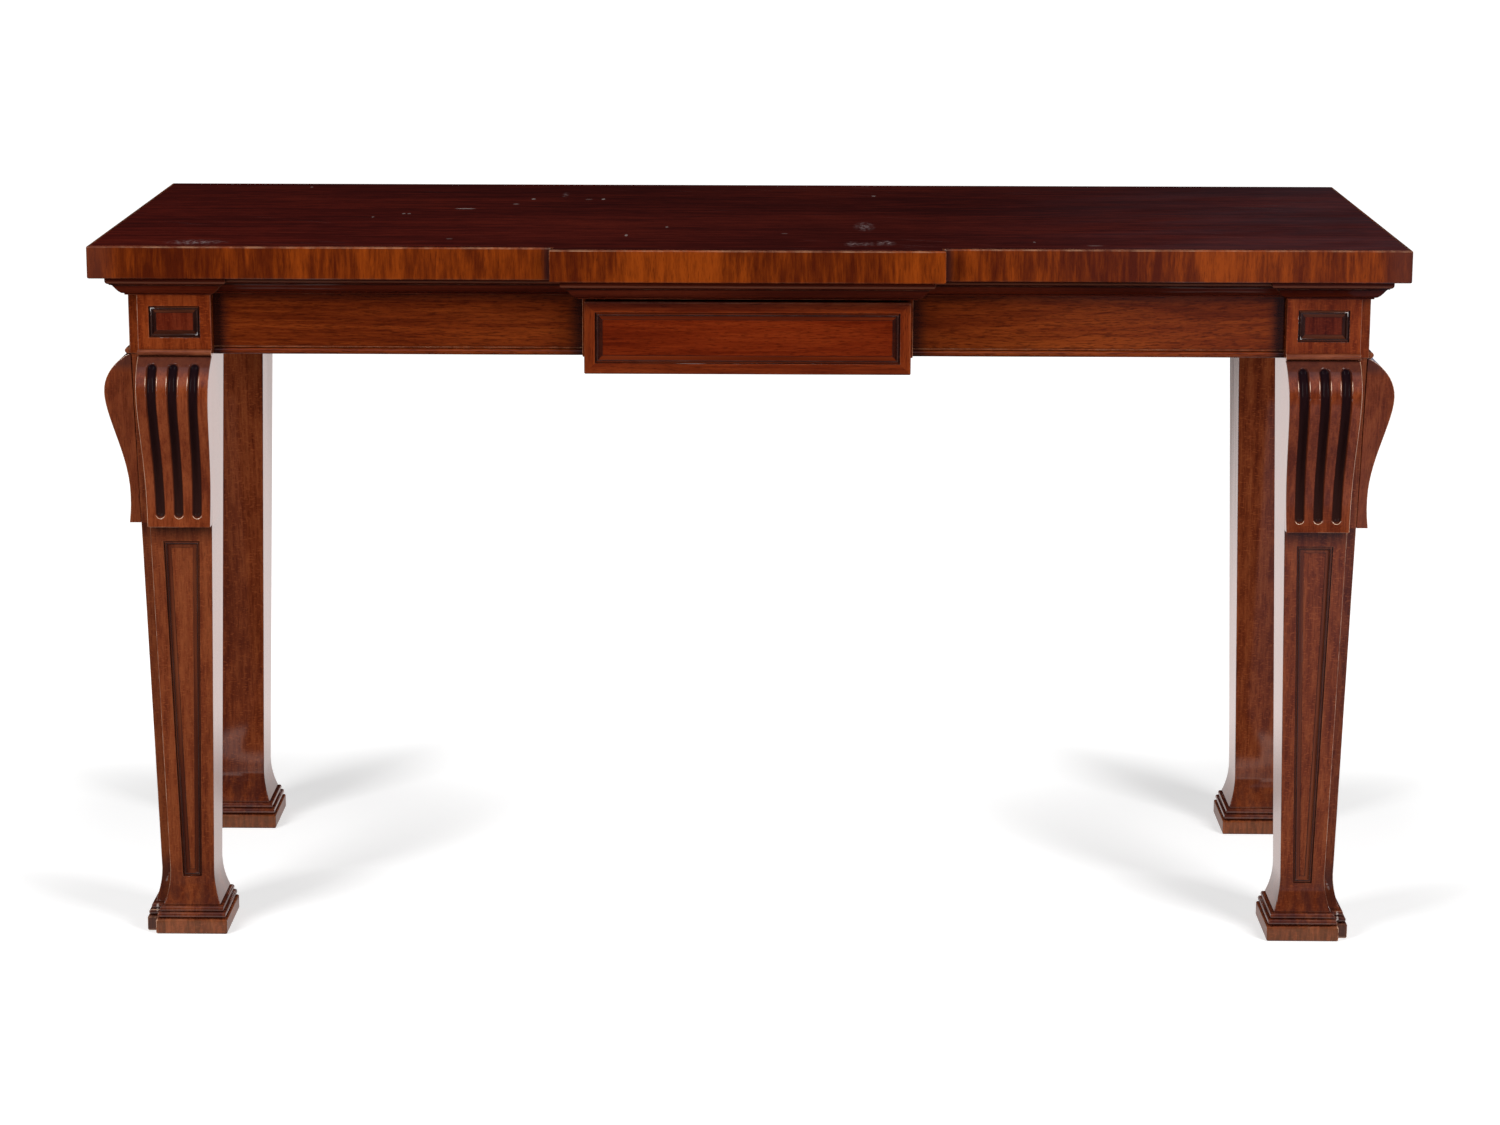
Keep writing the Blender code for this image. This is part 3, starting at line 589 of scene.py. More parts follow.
mould_look = look_of(
    mahogany,
    dark=(0.030, 0.0036, 0.0018),
    mid=(0.062, 0.0076, 0.0030),
    light=(0.104, 0.0150, 0.0052),
    grime=0.85,
    coat=0.40,
    rub=0.20,
    rub_least=0.0,
    arris=0.0004,
)
frieze_look = look_of(
    mahogany,
    dark=(0.056, 0.0066, 0.0015),
    mid=(0.127, 0.0184, 0.0030),
    light=(0.206, 0.0390, 0.0058),
    ribbon_width=0.012,
    ribbon=0.26,
    ribbon_run=3.0,
    fine_run=14.0,
    pores=0.65,
    dashes=0.55,
)
leg_look = look_of(
    mahogany,
    grain="z",
    dark=(0.076, 0.0120, 0.0042),
    mid=(0.150, 0.0295, 0.0088),
    light=(0.208, 0.0500, 0.0155),
    ribbon_width=0.011,
    ribbon=0.30,
    fine_run=12.0,
    mottle=0.45,
    rays=0.45,
    dashes=0.20,
    grime=0.40,
    grime_reach=0.004,
    rub=0.75,
    # This pale colour also paints the glints along the notch's edge
    worn=(0.50, 0.300, 0.200),
    arris=0.0008,
)
bracket_look = look_of(
    leg_look,
    dark=(0.086, 0.0140, 0.0048),
    mid=(0.166, 0.0325, 0.0098),
    light=(0.228, 0.0530, 0.0170),
    ribbon=0.25,
    rays=0.15,
    rub=0.95,
    rub_least=0.55,
    # This pale colour also paints the highlights on the flutes' lips
    worn=(0.62, 0.390, 0.260),
    arris=0.0006,
)
bead_look = look_of(
    bracket_look,
    grain="x",
    dark=(0.100, 0.0230, 0.0100),
    mid=(0.190, 0.0500, 0.0200),
    light=(0.250, 0.0780, 0.0340),
    rays=0.0,
    rub_least=0.15,
    grime=0.75,
    grime_reach=0.006,
    arris=0.0003,
)
glaze_look = look_of(
    mahogany,
    dark=(0.0330, 0.0085, 0.0044),
    mid=(0.0680, 0.0170, 0.0074),
    light=(0.1050, 0.0300, 0.0130),
    pores=0.10,
    grime=0.75,
    grime_reach=0.0018,
    worn=(0.150, 0.080, 0.060),
    rub=0.50,
    arris=0.00012,
)
tablet_glaze_look = look_of(
    glaze_look,
    dark=(0.0560, 0.0070, 0.0018),
    mid=(0.1050, 0.0140, 0.0030),
    light=(0.1500, 0.0250, 0.0055),
    grime=0.45,
)
leg_glaze_look = look_of(
    glaze_look,
    grain="z",
    dark=(0.0580, 0.0105, 0.0045),
    mid=(0.1150, 0.0250, 0.0090),
    light=(0.1650, 0.0400, 0.0140),
    grime=0.40,
)
lining_look = look_of(
    mahogany,
    dark=(0.150, 0.0700, 0.0330),
    mid=(0.250, 0.1250, 0.0600),
    light=(0.340, 0.1900, 0.1000),
    ribbon_width=0.022,
    ribbon=0.35,
    coat=0.0,
    specular=0.35,
    roughness=0.60,
    relief=0.5,
    worn=(0.42, 0.28, 0.17),
)
tablet_look = look_of(
    frieze_look,
    dark=(0.062, 0.0054, 0.0012),
    mid=(0.122, 0.0120, 0.0020),
    light=(0.176, 0.0235, 0.0040),
    ribbon=0.30,
    dashes=0.25,
    rub=0.10,
    rub_least=0.0,
    arris=0.0004,
)
tablet_border_look = look_of(
    tablet_look,
    dark=(0.084, 0.0100, 0.0026),
    mid=(0.168, 0.0250, 0.0050),
    light=(0.240, 0.0480, 0.0095),
    ribbon=0.40,
)


def across(look):
    """The same wood with its grain along Y, for the pieces that run from front to back."""
    return look_of(look, grain="y")


# Stains and marks at known places

def frieze_shade(t, colour, place, name, coat):
    """Painted shadows on the frieze beside the corner blocks and the tablet, and under the bed moulding."""
    x, _, z = t.parts(place)
    aside = t.maths("ABSOLUTE", x)
    from_tablet = t.maths("SUBTRACT", aside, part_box("drawer_front")[1].x)
    from_block = t.maths("SUBTRACT", -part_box("leg_front_left")[1].x, aside)
    nearest = t.maths("MINIMUM", from_tablet, from_block)
    at_ends = t.spread(nearest, *frieze_shadow_reach, frieze_shadow, 0.0)
    below = t.maths("SUBTRACT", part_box("bed_mould_frieze_left")[0].z, z)
    under_top = t.spread(below, *frieze_top_reach, frieze_top_shadow, 0.0)
    return t.mix(t.maths("MAXIMUM", at_ends, under_top), colour, opaque(shade_colour)), coat


def band_tone_and_shadow(t, colour, place, name, coat):
    """The cross-banding is darker at its outer corners, and has a painted shadow on the side boards beside
    each step.
    """
    aside = t.maths("ABSOLUTE", t.parts(place)[0])
    beyond_step = t.maths("SUBTRACT", aside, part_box("edge_band_front_centre")[1].x)
    at_step = t.spread(beyond_step, *step_shadow_reach, step_shadow, 0.0)
    at_step = t.maths("MULTIPLY", at_step, t.maths("GREATER_THAN", beyond_step, 0.0))
    from_corner = t.maths("SUBTRACT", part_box("top_panel")[1].x, aside)
    at_corner = t.spread(from_corner, *corner_stain_reach, corner_stain, 0.0)
    colour = t.mix(at_corner, colour, opaque(corner_colour))
    return t.mix(at_step, colour, opaque(step_shadow_colour)), coat


def upper_wear(t, place, name, patches):
    """The arris that meets the top is worn, and the lower one keeps its polish."""
    low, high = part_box(name)
    return t.maths("MULTIPLY", patches, t.spread(t.parts(place)[2], low.z, high.z, lower_arris_share, 1.0))


def mould_lines(t, colour, place, name, coat):
    """A painted highlight along the nosing of the bed moulding, and painted shade in its quirk."""
    low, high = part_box(name)
    drop = t.line(t.parts(place)[2], high.z, low.z)
    from_nosing = t.maths("ABSOLUTE", t.maths("SUBTRACT", drop, nosing_share))
    bright = t.spread(from_nosing, 0.0, nosing_reach_share, nosing_highlight, 0.0)
    from_quirk = t.maths("ABSOLUTE", t.maths("SUBTRACT", drop, quirk_share))
    dark = t.spread(from_quirk, 0.0, quirk_reach_share, mould_quirk_shade, 0.0)
    colour = t.mix(bright, colour, opaque(nosing_highlight_colour))
    return t.mix(dark, colour, opaque(shade_colour)), coat


def face_axis(name):
    """The axis that runs along the face that a bracket or a moulding lies on."""
    return 1 if name.endswith("side") else 0


def flute_middle(name, u):
    """The lowest and highest point of the middle flute, from the mesh on the bracket's middle line."""
    low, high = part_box(name)
    middle = (low[u] + high[u]) / 2
    inside = [v.co.z for v in nodes[name].data.vertices if abs(v.co[u] - middle) < flute_line_reach]
    inside = [z for z in inside if low.z + flute_end_margin < z < high.z - flute_end_margin]
    return min(inside), max(inside)


def face_edges(name, axis, z):
    """The lowest and highest place of a node along one axis, at one height."""
    found = [v.co[axis] for v in nodes[name].data.vertices if abs(v.co.z - z) < weld_distance]
    return min(found), max(found)


def tapered_sides(t, z, name, u):
    """How far up a tapered node a point is, from 0 to 1, and where the node's sides are at that height."""
    low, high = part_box(name)
    share = t.line(z, low.z, high.z)
    foot = face_edges(name, u, low.z)
    head = face_edges(name, u, high.z)
    return share, *(t.blend_values(share, *ends) for ends in zip(foot, head))


def flute_reach(t, place, name):
    """How far a point is from the middle line of the nearest flute, and how far up the bracket."""
    u = face_axis(name)
    parts = t.parts(place)
    share, left, right = tapered_sides(t, parts[2], name, u)
    width = t.maths("SUBTRACT", right, left)
    middle = t.maths("MULTIPLY", t.maths("ADD", left, right), 0.5)
    aside = t.maths("ABSOLUTE", t.maths("SUBTRACT", parts[u], middle))
    pitch = t.maths("MULTIPLY", width, flute_pitch_share)
    across = t.maths("MINIMUM", aside, t.maths("ABSOLUTE", t.maths("SUBTRACT", aside, pitch)))
    foot, head = flute_middle(name, u)
    over = t.maths("SUBTRACT", parts[2], head - flute_width / 2)
    under = t.maths("SUBTRACT", foot + flute_width / 2, parts[2])
    beyond = t.maths("MAXIMUM", t.maths("MAXIMUM", over, under), 0.0)
    squares = t.maths("MULTIPLY_ADD", across, across, t.maths("MULTIPLY", beyond, beyond))
    return t.maths("SQRT", squares), share


def flute_shade(t, colour, place, name, coat):
    """Painted shade inside the flutes, nearly black, where the coat is also duller, and the head of the
    bracket is darker above its shoulder.
    """
    away, share = flute_reach(t, place, name)
    drop = t.maths("SUBTRACT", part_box(name)[1].z, t.parts(place)[2])
    head = t.spread(drop, *bracket_head_reach, bracket_head_darkening, 0.0)
    colour = t.mix(head, colour, opaque(bracket_head_colour))
    inside = t.spread(away, flute_width / 2 - flute_shade_edge, flute_width / 2, flute_shade_share, 0.0)
    coat = t.maths("MULTIPLY_ADD", inside, -flute_dullness, coat)
    stain = t.mix(share, opaque(flute_foot_colour), opaque(flute_head_colour))
    return t.mix(inside, colour, stain), coat


def bracket_wear_and_highlights(t, place, name, patches):
    """A bracket's outer arris is worn pale and its inner one less, and the flutes' lips get painted
    highlights at the shoulder and at the flutes' feet.

    The arrises that lie on the leg keep their polish, and the toe's keeps most of it.
    """
    low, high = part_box(name)
    u = face_axis(name)
    parts = t.parts(place)
    z = parts[2]
    if u:
        outer = t.maths("LESS_THAN", parts[u], (low.y + high.y) / 2)
    else:
        outer = t.maths("GREATER_THAN", t.maths("ABSOLUTE", parts[u]), abs(low.x + high.x) / 2)
    patches = t.maths("MULTIPLY", patches, t.blend_values(outer, inner_arris_share, 1.0))
    away, share = flute_reach(t, place, name)
    out = 1 - u
    seat_low, seat_high = (abs(min(face_edges(name, out, height), key=abs)) for height in (low.z, high.z))
    leg_face = t.blend_values(share, seat_low, seat_high)
    proud = t.maths("SUBTRACT", t.maths("ABSOLUTE", parts[out]), leg_face)
    patches = t.maths("MULTIPLY", patches, t.maths("GREATER_THAN", proud, seat_margin))
    above_toe = t.maths("GREATER_THAN", z, low.z + lip_margin)
    patches = t.maths("MULTIPLY", patches, t.blend_values(above_toe, toe_arris_share, 1.0))
    from_shoulder = t.maths("ABSOLUTE", t.maths("SUBTRACT", z, shoulder_height))
    at_shoulder = t.spread(from_shoulder, *shoulder_highlight_reach, shoulder_highlight, 0.0)
    foot = flute_middle(name, u)[0]
    at_foot = t.spread(z, foot + lip_margin, foot + flute_foot_highlight_reach, flute_foot_highlight, 0.0)
    beyond_lip = t.spread(away, flute_width / 2 + lip_margin, flute_width / 2 + lip_reach)
    return t.blend_values(beyond_lip, t.maths("MAXIMUM", at_shoulder, at_foot), patches)


def panels_of(name):
    """The panel mouldings of a leg: first its block's two, then its own two."""
    word = name.split("_")[-1]
    if name.startswith("leg_rear"):
        return []
    return [f"{kind}_panel_moulding_{word}_{face}" for kind in ("block", "leg") for face in ("front", "side")]


def panel_reach(t, place, moulding):
    """How far inside a panel's outline a point lies: from its nearer side, and from its nearer end."""
    u = face_axis(moulding)
    parts = t.parts(place)
    low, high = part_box(moulding)
    left, right = tapered_sides(t, parts[2], moulding, u)[1:]
    from_left = t.maths("SUBTRACT", parts[u], left)
    from_right = t.maths("SUBTRACT", right, parts[u])
    from_foot = t.maths("SUBTRACT", parts[2], low.z)
    from_head = t.maths("SUBTRACT", high.z, parts[2])
    return t.maths("MINIMUM", from_left, from_right), t.maths("MINIMUM", from_foot, from_head)


def inside_panel(t, place, moulding, margin):
    """1 inside a panel's outline and its margin, and 0 elsewhere."""
    from_side, from_end = panel_reach(t, place, moulding)
    return t.maths("GREATER_THAN", t.maths("MINIMUM", from_side, from_end), -margin)


def panel_shade(t, colour, place, name, coat):
    """Painted shade on the upright lengths of a panel's moulding, which face aside, and in its quirks and
    along its inner edge.
    """
    from_side, from_end = panel_reach(t, place, name)
    darker = leg_upright_shade if name.startswith("leg") else upright_shade
    dark = t.maths("MULTIPLY", t.maths("LESS_THAN", from_side, from_end), darker)
    nearest = t.maths("MINIMUM", from_side, from_end)
    inner_edge = tablet_moulding_width if name.startswith("drawer") else panel_moulding_width
    for start in (*quirk_places, inner_edge):
        away = t.maths("ABSOLUTE", t.maths("SUBTRACT", nearest, start))
        quirk = t.spread(away, quirk_width / 2, quirk_width, panel_quirk_shade, 0.0)
        dark = t.maths("MAXIMUM", dark, quirk)
    return t.mix(dark, colour, opaque(shade_colour)), coat


def beyond_notch(t, place, name):
    """How far a point near the foot lies beyond the inner edges of a front leg's notch, aside and forward."""
    low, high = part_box(name)
    x, y, z = t.parts(place)
    edge = t.line(z, flare_foot, ankle_height, (high.x - low.x) / 2 - notch_size, ankle_near)
    aside = t.maths("SUBTRACT", t.maths("ABSOLUTE", x), abs(low.x + high.x) / 2)
    forward = t.maths("SUBTRACT", (low.y + high.y) / 2, y)
    return t.maths("SUBTRACT", aside, edge), t.maths("SUBTRACT", forward, edge)


def leg_wear_and_glints(t, place, name, patches):
    """How far a leg's arrises are worn.

    Those round the panels, along the foot, under the brackets and on the inner side keep their polish.
    The notch's edge gets painted glints near the foot.
    """
    for moulding in panels_of(name):
        inside = inside_panel(t, place, moulding, panel_spare_margin)
        patches = t.maths("MULTIPLY", patches, t.maths("MULTIPLY_ADD", inside, -panel_spare, 1.0))
    x, _, z = t.parts(place)
    low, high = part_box(name)
    outer = t.maths("GREATER_THAN", t.maths("ABSOLUTE", x), abs(low.x + high.x) / 2)
    patches = t.maths("MULTIPLY", patches, t.blend_values(outer, inner_arris_share, 1.0))
    patches = t.maths("MULTIPLY", patches, t.spread(z, flare_foot, ankle_height, foot_rub, 1.0))
    if name.startswith("leg_rear"):
        return patches
    bracket_low, bracket_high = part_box("bracket_left_front")
    above_toe = t.maths("GREATER_THAN", z, bracket_low.z)
    covered = t.maths("MULTIPLY", above_toe, t.maths("LESS_THAN", z, bracket_high.z))
    patches = t.maths("MULTIPLY", patches, t.blend_values(covered, 1.0, covered_share))
    aside, forward = beyond_notch(t, place, name)
    at_notch = t.maths("GREATER_THAN", aside, -notch_glint_reach)
    at_notch = t.maths("MULTIPLY", at_notch, t.spread(forward, *notch_back_margin))
    at_notch = t.maths("MULTIPLY", at_notch, t.spread(z, *notch_ends, 0.0, notch_glint))
    at_notch = t.maths("MULTIPLY", at_notch, t.pattern(place, notch_glint_noise))
    return t.maths("MAXIMUM", patches, at_notch)


def foot_tones(t, colour, place, coat):
    """The plinth is streaked and rubbed paler and duller, and the flare above it is darker in patches."""
    z = t.parts(place)[2]
    plinth = t.maths("LESS_THAN", z, plinth_height)
    streaks = t.pattern(place, plinth_noise, *plinth_streaks)
    streaked = t.mix(1.0, colour, t.together(streaks, streaks, streaks), "MULTIPLY")
    colour = t.mix(plinth, colour, streaked)
    coat = t.maths("MULTIPLY_ADD", plinth, -plinth_dullness, coat)
    paler = t.spread(z, plinth_height, plinth_height - plinth_edge, 0.0, plinth_paler)
    colour = t.mix(paler, colour, opaque(plinth_colour))
    above = t.spread(z, plinth_height, plinth_height + plinth_edge)
    flare = t.maths("MULTIPLY", above, t.spread(z, *flare_ends, flare_darker, 0.0))
    flare = t.maths("MULTIPLY", flare, t.pattern(place, flare_noise, flare_least, 1.0))
    return t.mix(flare, colour, opaque(flare_colour)), coat


def notch_tones(t, colour, place, name):
    """The notch is darker near the foot, and its inner edge gets painted glints above the plinth."""
    z = t.parts(place)[2]
    aside, forward = beyond_notch(t, place, name)
    front = t.spread(forward, *notch_back_margin)
    notch = t.maths("MULTIPLY", t.spread(aside, 0.0, notch_darkening_edge), front)
    notch = t.maths("MULTIPLY", notch, t.spread(z, *notch_ends, 0.0, notch_darkening))
    colour = t.mix(notch, colour, opaque(notch_colour))
    glinted = t.spread(t.maths("ABSOLUTE", aside), *edge_glint_reach, notch_edge_glints, 0.0)
    above_plinth = t.spread(z, plinth_height, plinth_height + plinth_edge)
    for share in (front, above_plinth, t.spread(z, *edge_glint_ends), t.pattern(place, edge_glint_noise)):
        glinted = t.maths("MULTIPLY", glinted, share)
    return t.mix(glinted, colour, opaque(edge_glint_colour))


def leg_tones(t, colour, place, name, coat):
    """The corner blocks are redder, a front leg has painted shade under its bracket, and it is darker in its
    notch.
    """
    z = t.parts(place)[2]
    bracket_low, bracket_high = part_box("bracket_left_front")
    block = t.spread(z, bracket_high.z, bracket_high.z + block_tint_edge)
    colour = t.mix(block, colour, opaque(block_tint), "MULTIPLY")
    for moulding in panels_of(name)[:2]:
        inside = inside_panel(t, place, moulding, 0.0)
        colour = t.mix(inside, colour, opaque(block_panel_tint), "MULTIPLY")
    colour, coat = foot_tones(t, colour, place, coat)
    if name.startswith("leg_rear"):
        return colour, coat
    drop = t.maths("SUBTRACT", bracket_low.z, z)
    under = t.spread(drop, *under_bracket_reach, under_bracket_shade, 0.0)
    under = t.maths("MULTIPLY", under, t.maths("LESS_THAN", z, bracket_low.z))
    colour = t.mix(under, colour, opaque(shade_colour))
    return notch_tones(t, colour, place, name), coat


def tablet_banding(t, colour, place, name, coat):
    """A mitred border round the tablet's panel, with a painted shadow along its top edge."""
    low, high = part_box(name)
    x, _, z = t.parts(place)
    from_side = t.maths("SUBTRACT", high.x, t.maths("ABSOLUTE", x))
    from_end = t.maths("MINIMUM", t.maths("SUBTRACT", z, low.z), t.maths("SUBTRACT", high.z, z))
    nearest = t.maths("MINIMUM", from_side, from_end)
    border = t.spread(nearest, tablet_margin, tablet_margin - tablet_margin_edge)
    lengths = {}
    for grain in ("x", "z"):
        grained = grain_place(t, grain, tablet_border_seed)[0]
        tone, pores = figure(t, grained, tablet_border_look)[:2]
        lengths[grain] = mixed_colour(t, grained, tablet_border_look, tone, pores)
    mitred = t.mix(t.maths("LESS_THAN", from_side, from_end), lengths["x"], lengths["z"])
    colour = t.mix(border, colour, mitred)
    shade = t.spread(t.maths("SUBTRACT", high.z, z), *tablet_top_reach, tablet_top_shadow, 0.0)
    return t.mix(shade, colour, opaque(shade_colour)), coat


def spots(t, place, marks, core):
    """How much of a spot covers each point of the top. It is full out to the core's share of its reach."""
    covered = 0.0
    for x, y, reach_x, reach_y, strength in marks:
        offset = t.vector("SUBTRACT", place, (x, y, table_height))
        away = t.length(t.vector("DIVIDE", offset, (reach_x, reach_y, mark_depth)))
        covered = t.maths("MAXIMUM", covered, t.spread(away, 1.0, core, 0.0, strength))
    return covered


def top_marks(t, colour, place, name, coat):
    """The top is warmer to the left and has a cloudy painted sheen to the right, with rubbed marks, nicks and
    fine scratches.
    """
    x = t.parts(place)[0]
    warm = t.mix(t.spread(x, *warm_ends), opaque(white), opaque(warm_tint))
    colour = t.mix(1.0, colour, warm, "MULTIPLY")
    clouds = t.pattern(t.turn(place, -top_sheen_slant), cloud_noise, top_sheen_least, 1.0)
    cloudy = t.maths("MULTIPLY", clouds, t.spread(x, *top_sheen_ends, 0.0, top_sheen))
    colour = t.mix(cloudy, colour, opaque(top_sheen_colour))
    scuffs = t.maths("MULTIPLY", spots(t, place, top_scuffs, scuff_core), t.pattern(place, scuff_noise))
    lines = t.pattern(t.turn(place, scratch_slant), scratch_noise, 0.0, scratch_share)
    scratches = t.maths("MULTIPLY", lines, t.pattern(place, scratched_noise))
    colour = t.mix(t.maths("MAXIMUM", scuffs, scratches), colour, opaque(scuff_colour))
    return t.mix(spots(t, place, top_nicks, nick_core), colour, opaque(nick_colour)), coat


# Edges

def arris_group():
    """Marks the outer arrises for the bevel and keeps the inner corners sharp."""
    group = bpy.data.node_groups.new("arrises", "GeometryNodeTree")
    group.interface.new_socket("Geometry", in_out="INPUT", socket_type="NodeSocketGeometry")
    group.interface.new_socket("Geometry", in_out="OUTPUT", socket_type="NodeSocketGeometry")
    t = Tree(group)
    given = t.node("NodeGroupInput").outputs[0]
    clean = t.node("GeometryNodeRemoveAttribute", {"Geometry": given, "Name": "custom_normal"}).outputs[0]
    smooth = t.node("GeometryNodeSetShadeSmooth", {"Geometry": clean}).outputs[0]
    angle = t.node("GeometryNodeInputMeshEdgeAngle").outputs["Signed Angle"]
    outer = t.node("FunctionNodeCompare", {0: angle, 1: arris_angle}, operation="GREATER_THAN").outputs[0]
    inner = t.node("FunctionNodeCompare", {0: angle, 1: -arris_angle}, operation="LESS_THAN").outputs[0]
    weight = {"Geometry": smooth, "Name": "bevel_weight_edge", "Value": outer}
    marked = t.node("GeometryNodeStoreNamedAttribute", weight, data_type="FLOAT", domain="EDGE").outputs[0]
    sharp = {"Geometry": marked, "Name": "sharp_edge", "Value": inner}
    kept = t.node("GeometryNodeStoreNamedAttribute", sharp, data_type="BOOLEAN", domain="EDGE").outputs[0]
    t.node("NodeGroupOutput", {0: kept})
    return group


arrises = arris_group()


def work_edges(o, width):
    """Joins the model's split corners and rounds the arrises, which take the second material.

    The short facets at the lips of the flutes would hold every rounding of a bracket back, so
    a bracket's roundings may pass them.
    """
    weld = o.modifiers.new("weld", "WELD")
    weld.merge_threshold = weld_distance
    flats = o.modifiers.new("flats", "DECIMATE")
    flats.decimate_type = "DISSOLVE"
    flats.angle_limit = flat_angle
    marks = o.modifiers.new("arrises", "NODES")
    marks.node_group = arrises
    bevel = o.modifiers.new("bevel", "BEVEL")
    bevel.width = width
    bevel.segments = arris_rounds
    bevel.limit_method = "WEIGHT"
    bevel.use_clamp_overlap = not o.name.startswith("bracket")
    bevel.harden_normals = True
    bevel.material = 1


def dress(names, look, paint=None, spare=None):
    """Gives each node its own wood and its own worn arris."""
    for name in names:
        o = nodes[name]
        seed = sorted(nodes).index(name) + 1 + seed_steps.get(name, 0)
        o.data.materials.clear()
        o.data.materials.append(wood(name, look, seed, paint))
        o.data.materials.append(wood(name, look, seed, paint, rubbed=True, spare=spare))
        work_edges(o, look["arris"])


def names_with(*starts):
    return [name for name in nodes if name.startswith(starts)]


def make_table_looks():
    dress(["top_panel"], top_look, top_marks)
    dress(names_with("edge_band_front"), band_look, band_tone_and_shadow, upper_wear)
    dress([f"edge_band_{side}" for side in ("back", *sides)], band_look)
    side_moulds = names_with("bed_mould_side", "bed_mould_rear")
    dress(side_moulds, across(mould_look), mould_lines)
    front_moulds = [name for name in names_with("bed_mould") if name not in side_moulds]
    dress(front_moulds, mould_look, mould_lines)
    dress(names_with("frieze_board"), frieze_look, frieze_shade)
    hidden = ["drawer_rail_upper", "drawer_rail_lower", "centre_cornice_block"]
    dress(["back_rail", *hidden], frieze_look)
    dress(names_with("side_rail", "drawer_cheek"), across(frieze_look))
    dress(names_with("leg_front", "leg_rear"), leg_look, leg_tones, leg_wear_and_glints)
    dress(names_with("bracket"), bracket_look, flute_shade, bracket_wear_and_highlights)
    dress([f"block_bead_{side}_side" for side in sides], across(bead_look))
    dress([f"block_bead_{side}_front" for side in sides], bead_look)
    dress(names_with("block_panel_moulding"), glaze_look, panel_shade)
    dress(names_with("leg_panel_moulding"), leg_glaze_look, panel_shade)
    dress(["drawer_front_moulding"], tablet_glaze_look, panel_shade)
    dress(["drawer_front"], tablet_look, tablet_banding)
    linings = names_with("drawer_runner", "drawer_kicker", "corner_brace", "drawer_side")
    dress(linings, across(lining_look))
    dress(["drawer_back", "drawer_bottom"], lining_look)


# Studio

def aim(o, target):
    o.rotation_euler = (Vector(target) - o.location).to_track_quat("-Z", "Y").to_euler()


def lit_pieces(name, listed, state):
    """The pieces that a lamp lights alone, with INCLUDE, or leaves out, with EXCLUDE."""
    made = bpy.data.collections.new(name)
    for o in listed:
        made.objects.link(o)
    for entry in made.collection_objects:
        entry.light_linking.link_state = state
    return made


def soft_lamp(name, size, power):
    """The data of an area lamp, which two objects may share."""
    lamp = bpy.data.lights.new(name, "AREA")
    lamp.shape = "RECTANGLE"
    lamp.size, lamp.size_y = size
    lamp.energy = power
    return lamp


def hang_lamp(name, lamp, place, lit, mirrored):
    o = bpy.data.objects.new(name, lamp)
    bpy.context.scene.collection.objects.link(o)
    o.location = place
    o.visible_glossy = mirrored
    o.light_linking.receiver_collection = lit
    aim(o, lamp_aim)


def make_lamps(floor):
    """Two soft lamps, and one behind that lights the back of the frame alone.

    The flat top takes its light from twins of the front lamps that don't show in its polish.
    """
    top = nodes["top_panel"]
    lit_frame = lit_pieces("lit_frame", [top], "EXCLUDE")
    lit_top = lit_pieces("lit_top", [top], "INCLUDE")
    lit_back = lit_pieces("lit_back", [top, floor], "EXCLUDE")
    back_lamp = soft_lamp("lamp_back", back_lamp_size, back_lamp_power)
    hang_lamp("lamp_back", back_lamp, back_lamp_place, lit_back, False)
    for side, sign in sides.items():
        lamp = soft_lamp("lamp_" + side, lamp_size, lamp_power[side])
        place = (sign * lamp_side, lamp_front, lamp_height)
        hang_lamp(f"lamp_{side}_frame", lamp, place, lit_frame, True)
        hang_lamp(f"lamp_{side}_top", lamp, place, lit_top, False)


def seen_directly(t, rays):
    return t.maths("MAXIMUM", rays["Is Camera Ray"], rays["Is Transmission Ray"])


def make_world():
    """White behind the table for the camera, a dim room in the polish, and a little fill."""
    world = bpy.data.worlds.new("studio")
    bpy.context.scene.world = world
    world.use_nodes = True
    t = Tree(world.node_tree)
    rays = t.node("ShaderNodeLightPath").outputs
    direction = t.parts(t.node("ShaderNodeTexCoord").outputs["Generated"])
    sheen = t.spread(direction[0], *room_sheen_ends)
    room = t.mix(sheen, opaque(room_tone), opaque(room_sheen))
    ceiling = t.spread(direction[2], *ceiling_rise_ends)
    ceiling = t.maths("MULTIPLY", ceiling, t.spread(direction[1], *ceiling_front_ends))
    room = t.mix(ceiling, room, opaque(room_ceiling))
    fill = t.mix(rays["Is Glossy Ray"], opaque(tinted(white, fill_strength)), room)
    shown = t.mix(seen_directly(t, rays), fill, opaque(white))
    light = t.node("ShaderNodeBackground", {"Color": shown, "Strength": 1.0})
    t.node("ShaderNodeOutputWorld", {"Surface": light.outputs[0]})


def mirror_bands(t, x, y):
    """1 in the two bands of the floor behind the table that the inner sides of the legs face."""
    edges = (mirror_band_inner, mirror_band_outer)
    inner, outer = (t.maths("MULTIPLY_ADD", y, -slope, start) for start, slope in edges)
    outer = t.maths("MAXIMUM", outer, t.maths("MULTIPLY", inner, -1.0))
    aside = t.maths("ABSOLUTE", x)
    beyond = t.maths("MAXIMUM", t.maths("SUBTRACT", inner, aside), t.maths("SUBTRACT", aside, outer))
    band = t.spread(beyond, *mirror_band_edge, 1.0, 0.0)
    band = t.maths("MULTIPLY", band, t.spread(y, *mirror_band_ends, 1.0, 0.0))
    return t.maths("MULTIPLY", band, t.spread(y, *mirror_band_front))


